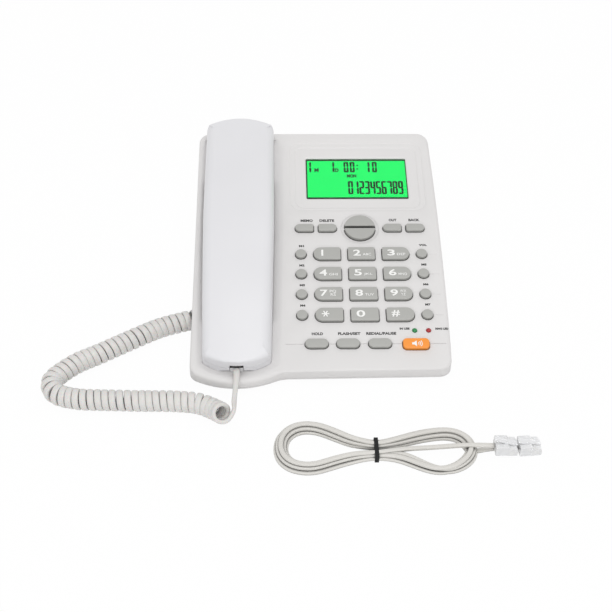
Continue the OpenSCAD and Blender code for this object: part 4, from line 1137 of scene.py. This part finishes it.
# ---------------------------------------------------------------- plugs and tie
def contact_tree(name, material):
    """Geometry Nodes that repeat one blade along a line."""
    tree = bpy.data.node_groups.new(name, "GeometryNodeTree")
    tree.interface.new_socket("Geometry", in_out="OUTPUT", socket_type="NodeSocketGeometry")
    inputs = [tree.interface.new_socket(title, in_out="INPUT", socket_type=kind) for title, kind in (
        ("Count", "NodeSocketInt"), ("Pitch", "NodeSocketFloat"), ("Width", "NodeSocketFloat"))]
    given = add(tree, "NodeGroupInput").outputs
    step = add(tree, "ShaderNodeCombineXYZ", {"X": given["Pitch"]})
    size = add(tree, "ShaderNodeCombineXYZ", {"X": given["Width"], "Y": 0.0032, "Z": 0.0021})
    line = add(tree, "GeometryNodeMeshLine", {"Offset": step.outputs["Vector"], "Count": given["Count"]})
    blade = add(tree, "GeometryNodeMeshCube", {"Size": size.outputs["Vector"]})
    row = add(tree, "GeometryNodeInstanceOnPoints",
              {"Points": line.outputs["Mesh"], "Instance": blade.outputs["Mesh"]})
    real = add(tree, "GeometryNodeRealizeInstances", {"Geometry": row.outputs["Instances"]})
    done = add(tree, "GeometryNodeSetMaterial", {"Geometry": real.outputs["Geometry"], "Material": material})
    add(tree, "NodeGroupOutput", {"Geometry": done.outputs["Geometry"]})
    return tree, [socket.identifier for socket in inputs]


def contact_row(name, contacts, pitch, width, at, turn, material):
    """A row of plug contacts, its middle at a place and its axes along the columns of turn."""
    row = placed(name, bpy.data.meshes.new(name))
    made = row.modifiers.new("contacts", "NODES")
    made.node_group, inputs = contact_tree(name, material)
    for socket, value in zip(inputs, (contacts, pitch * MM, width * MM)):
        made[socket] = value
    bpy.context.view_layer.update()
    baked(row)
    middle = Matrix.Translation((-(contacts - 1) * pitch / 2 * MM, 0, 0))
    row.data.transform(Matrix.Translation((Vector(at) + CENTRE) * MM) @ turn.to_4x4() @ middle)
    return row


class Plug:
    """A clear modular plug. Its own frame has the nose at y 11, the cord's end at y -1.6 and its
    middle on the z axis, with its latch on top."""
    PITCH, WIDTH, CONTACTS, WIRES = 1.02, 9.65, 6, 4

    def __init__(self, name, place, lifted=0.0):
        self.name, self.place, self.lifted = name, place, lifted

    def prism(self, outline, half):
        """A solid from a side outline of (y, z), reaching half to either side."""
        skin = Skin()
        skin.prism(*(skin.ring([self.place @ Vector((x, y, z)) for y, z in outline]) for x in (-half, half)))
        return skin.finish("part", CLEAR, sharp=25)

    def build(self):
        body = [(-1.6, -2.9), (-1.3, -3.3), (10.5, -3.3), (11.0, -2.8), (11.0, 0.3), (10.2, 0.9), (10.2, 1.7),
                (6.2, 1.9), (5.6, 3.0), (5.0, 3.3), (-1.3, 3.3), (-1.6, 2.9)]
        latch = [(10.6, 1.75), (10.9, 2.1), (10.7, 2.7), (7.6, 3.35), (1.0, 4.35), (-2.2, 4.95), (-2.5, 4.45),
                 (1.0, 3.65), (7.0, 2.5), (9.4, 1.9)]
        latch = [(y, min(z, 3.28) if y > 5.2 else z + self.lifted * (5.2 - y) / 7) for y, z in latch]
        return joined(self.name, [self.prism(body, self.WIDTH / 2), self.prism(latch, self.WIDTH / 2 * 0.34)])

    def metal(self):
        middle = self.place @ Vector((0, 8.4, -2.35))
        return contact_row(f"{self.name}_contacts", self.CONTACTS, self.PITCH, 0.35, middle,
                           self.place.to_3x3(), GOLD)

    def cores(self):
        """The cord's cores side by side inside the plug."""
        skin = Skin()
        for i in range(self.WIRES):
            x = (i - (self.WIRES - 1) / 2) * self.PITCH
            round_core = circle(0, 0, 0.4, 10)
            rings = [skin.ring([self.place @ Vector((x + dx, y, -1.0 + dz)) for dx, dz in round_core])
                     for y in (-1.2, 3.0, 9.4)]
            skin.stack(rings)
            skin.fan(rings[0][::-1], self.place @ Vector((x, -1.2, -1.0)))
            skin.fan(rings[-1], self.place @ Vector((x, 9.4, -1.0)))
        return skin.finish(f"{self.name}_cores", CORE, sharp=50)


def plug_at(x, y, z, turn):
    return Matrix.Translation((x, y, z)) @ Matrix.Rotation(radians(turn), 4, "Z")


PLUGS = (Plug("line_plug_near", plug_at(95.4, -145.4, 6.7, -90), lifted=1.6),
         Plug("line_plug_far", plug_at(109.6, -143.1, 3.4, -86)))


def cord_plugs():
    """Each plug's body, contacts and cores. The first body stands for both packed plugs."""
    made = []
    for plug in PLUGS:
        for piece, slot in ((plug.build(), "plug_clear"), (plug.metal(), "capsule_metal"),
                            (plug.cores(), "cord_pvc")):
            dress(piece, "base", slot, *(["line_plugs"] if not made else []))
            made.append(piece)
    return made


# ---------------------------------------------------------------- pieces
dress(upper_case(), "base", "case_plastic", "base_top_shell")
dress(handset_back(), "handset", "handset_plastic", "handset_back_shell")
buttons()
key_legends()
speaker_sign()
dress(deck_labels(), "base", "tie_black")
dress(display_signs(), "base", "tie_black")
dress(display_glass(), "base", "window_clear", "display_window")
dress(lamp("lamp_in_use", *LEDS[0], LAMP_GREEN), "base", "lamp", "indicator_leds")
dress(lamp("lamp_ring", *LEDS[1], LAMP_RED), "base", "lamp")
plug_pieces = cord_plugs()

# ---------------------------------------------------------------- cords in the frame
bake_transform(cord_piece)
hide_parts("handset_cord_coil", "handset_cord_tails")
dress(line_piece, "base", "cord_pvc", "line_cord_hank", "line_cord_tail")

# ---------------------------------------------------------------- carried-over nodes
FINISHES = {
    "base_bottom_shell": CASE_LOW, "handset_face_shell": HANDSET, "rubber_feet": RUBBER, "base_screws": STEEL,
    "main_pcb": BOARD, "keypad_mat": MAT, "lcd_panel": GLOW, "lcd_holder": WHITE_PART,
    "hook_plunger": PLUNGER, "hook_spring": STEEL, "loudspeaker": SPEAKER, "line_jack": JACK,
    "cord_jack": JACK, "battery_door": CASE_LOW, "batteries": CELL, "earpiece_capsule": CAPSULE,
    "microphone_capsule": CAPSULE, "handset_jack": JACK, "handset_cord_plug": PLUG_PAINTED_SHADE,
    "base_cord_plug": CLEAR, "line_cord_tie": TIE}

for node, material in FINISHES.items():
    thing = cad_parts[node]
    thing.data.materials.clear()
    thing.data.materials.append(material)


# ---------------------------------------------------------------- floor and light
FLOOR_WHITE, AMBIENT, FLOOR_HALF = 0.97, 0.72, 3000


def white_to_the_eye(tree, plain, kind, target, share):
    """Shows white to the camera and to glossy and clear surfaces, by share, and plain to other rays."""
    def worked(operation, first, second):
        return add(tree, "ShaderNodeMath", {0: first, 1: second}, operation=operation).outputs[0]

    rays = add(tree, "ShaderNodeLightPath").outputs
    seen = worked("MAXIMUM", rays["Is Camera Ray"], rays["Is Glossy Ray"])
    seen = worked("MAXIMUM", seen, rays["Is Transmission Ray"])
    white = add(tree, kind, {"Color": (1, 1, 1, 1)})
    mix = add(tree, "ShaderNodeMixShader", {"Fac": worked("MULTIPLY", seen, share), 1: plain.outputs[0],
                                            2: white.outputs[0]})
    tree.links.new(mix.outputs[0], target.inputs["Surface"])


def floor_and_world():
    material, tree, shader = new_material("floor_paper")
    set_inputs(tree, shader, {"Base Color": (0.88, 0.88, 0.88, 1), "Roughness": 0.9, "Specular IOR Level": 0.0})
    white_to_the_eye(tree, shader, "ShaderNodeEmission", tree.nodes["Material Output"], FLOOR_WHITE)
    skin = Skin()
    corners = ((-1, -1), (1, -1), (1, 1), (-1, 1))
    skin.bm.faces.new(skin.ring([(x * FLOOR_HALF, y * FLOOR_HALF, 0) for x, y in corners]))
    skin.finish("floor", material, sharp=0)

    world = bpy.data.worlds.new("studio")
    scene.world = world
    world.use_nodes = True
    tree = world.node_tree
    ambient = tree.nodes["Background"]
    set_inputs(tree, ambient, {"Color": (1, 1, 1, 1), "Strength": AMBIENT})
    white_to_the_eye(tree, ambient, "ShaderNodeBackground", tree.nodes["World Output"], 1.0)


def lamp_panel(name, at, power):
    """A round lamp a metre across that looks at the middle of the base."""
    data = bpy.data.lights.new(name, "AREA")
    data.shape = "DISK"
    data.size = 1.0
    data.energy = power
    panel = placed(name, data)
    panel.location = at
    panel.rotation_euler = (-Vector(at)).to_track_quat("-Z", "Y").to_euler()


floor_and_world()
lamp_panel("key_light", (0.15, -0.25, 1.3), 4.3)
lamp_panel("fill_light", (-0.2, -1.0, 0.65), 2.5)

scene.view_settings.view_transform = "Standard"
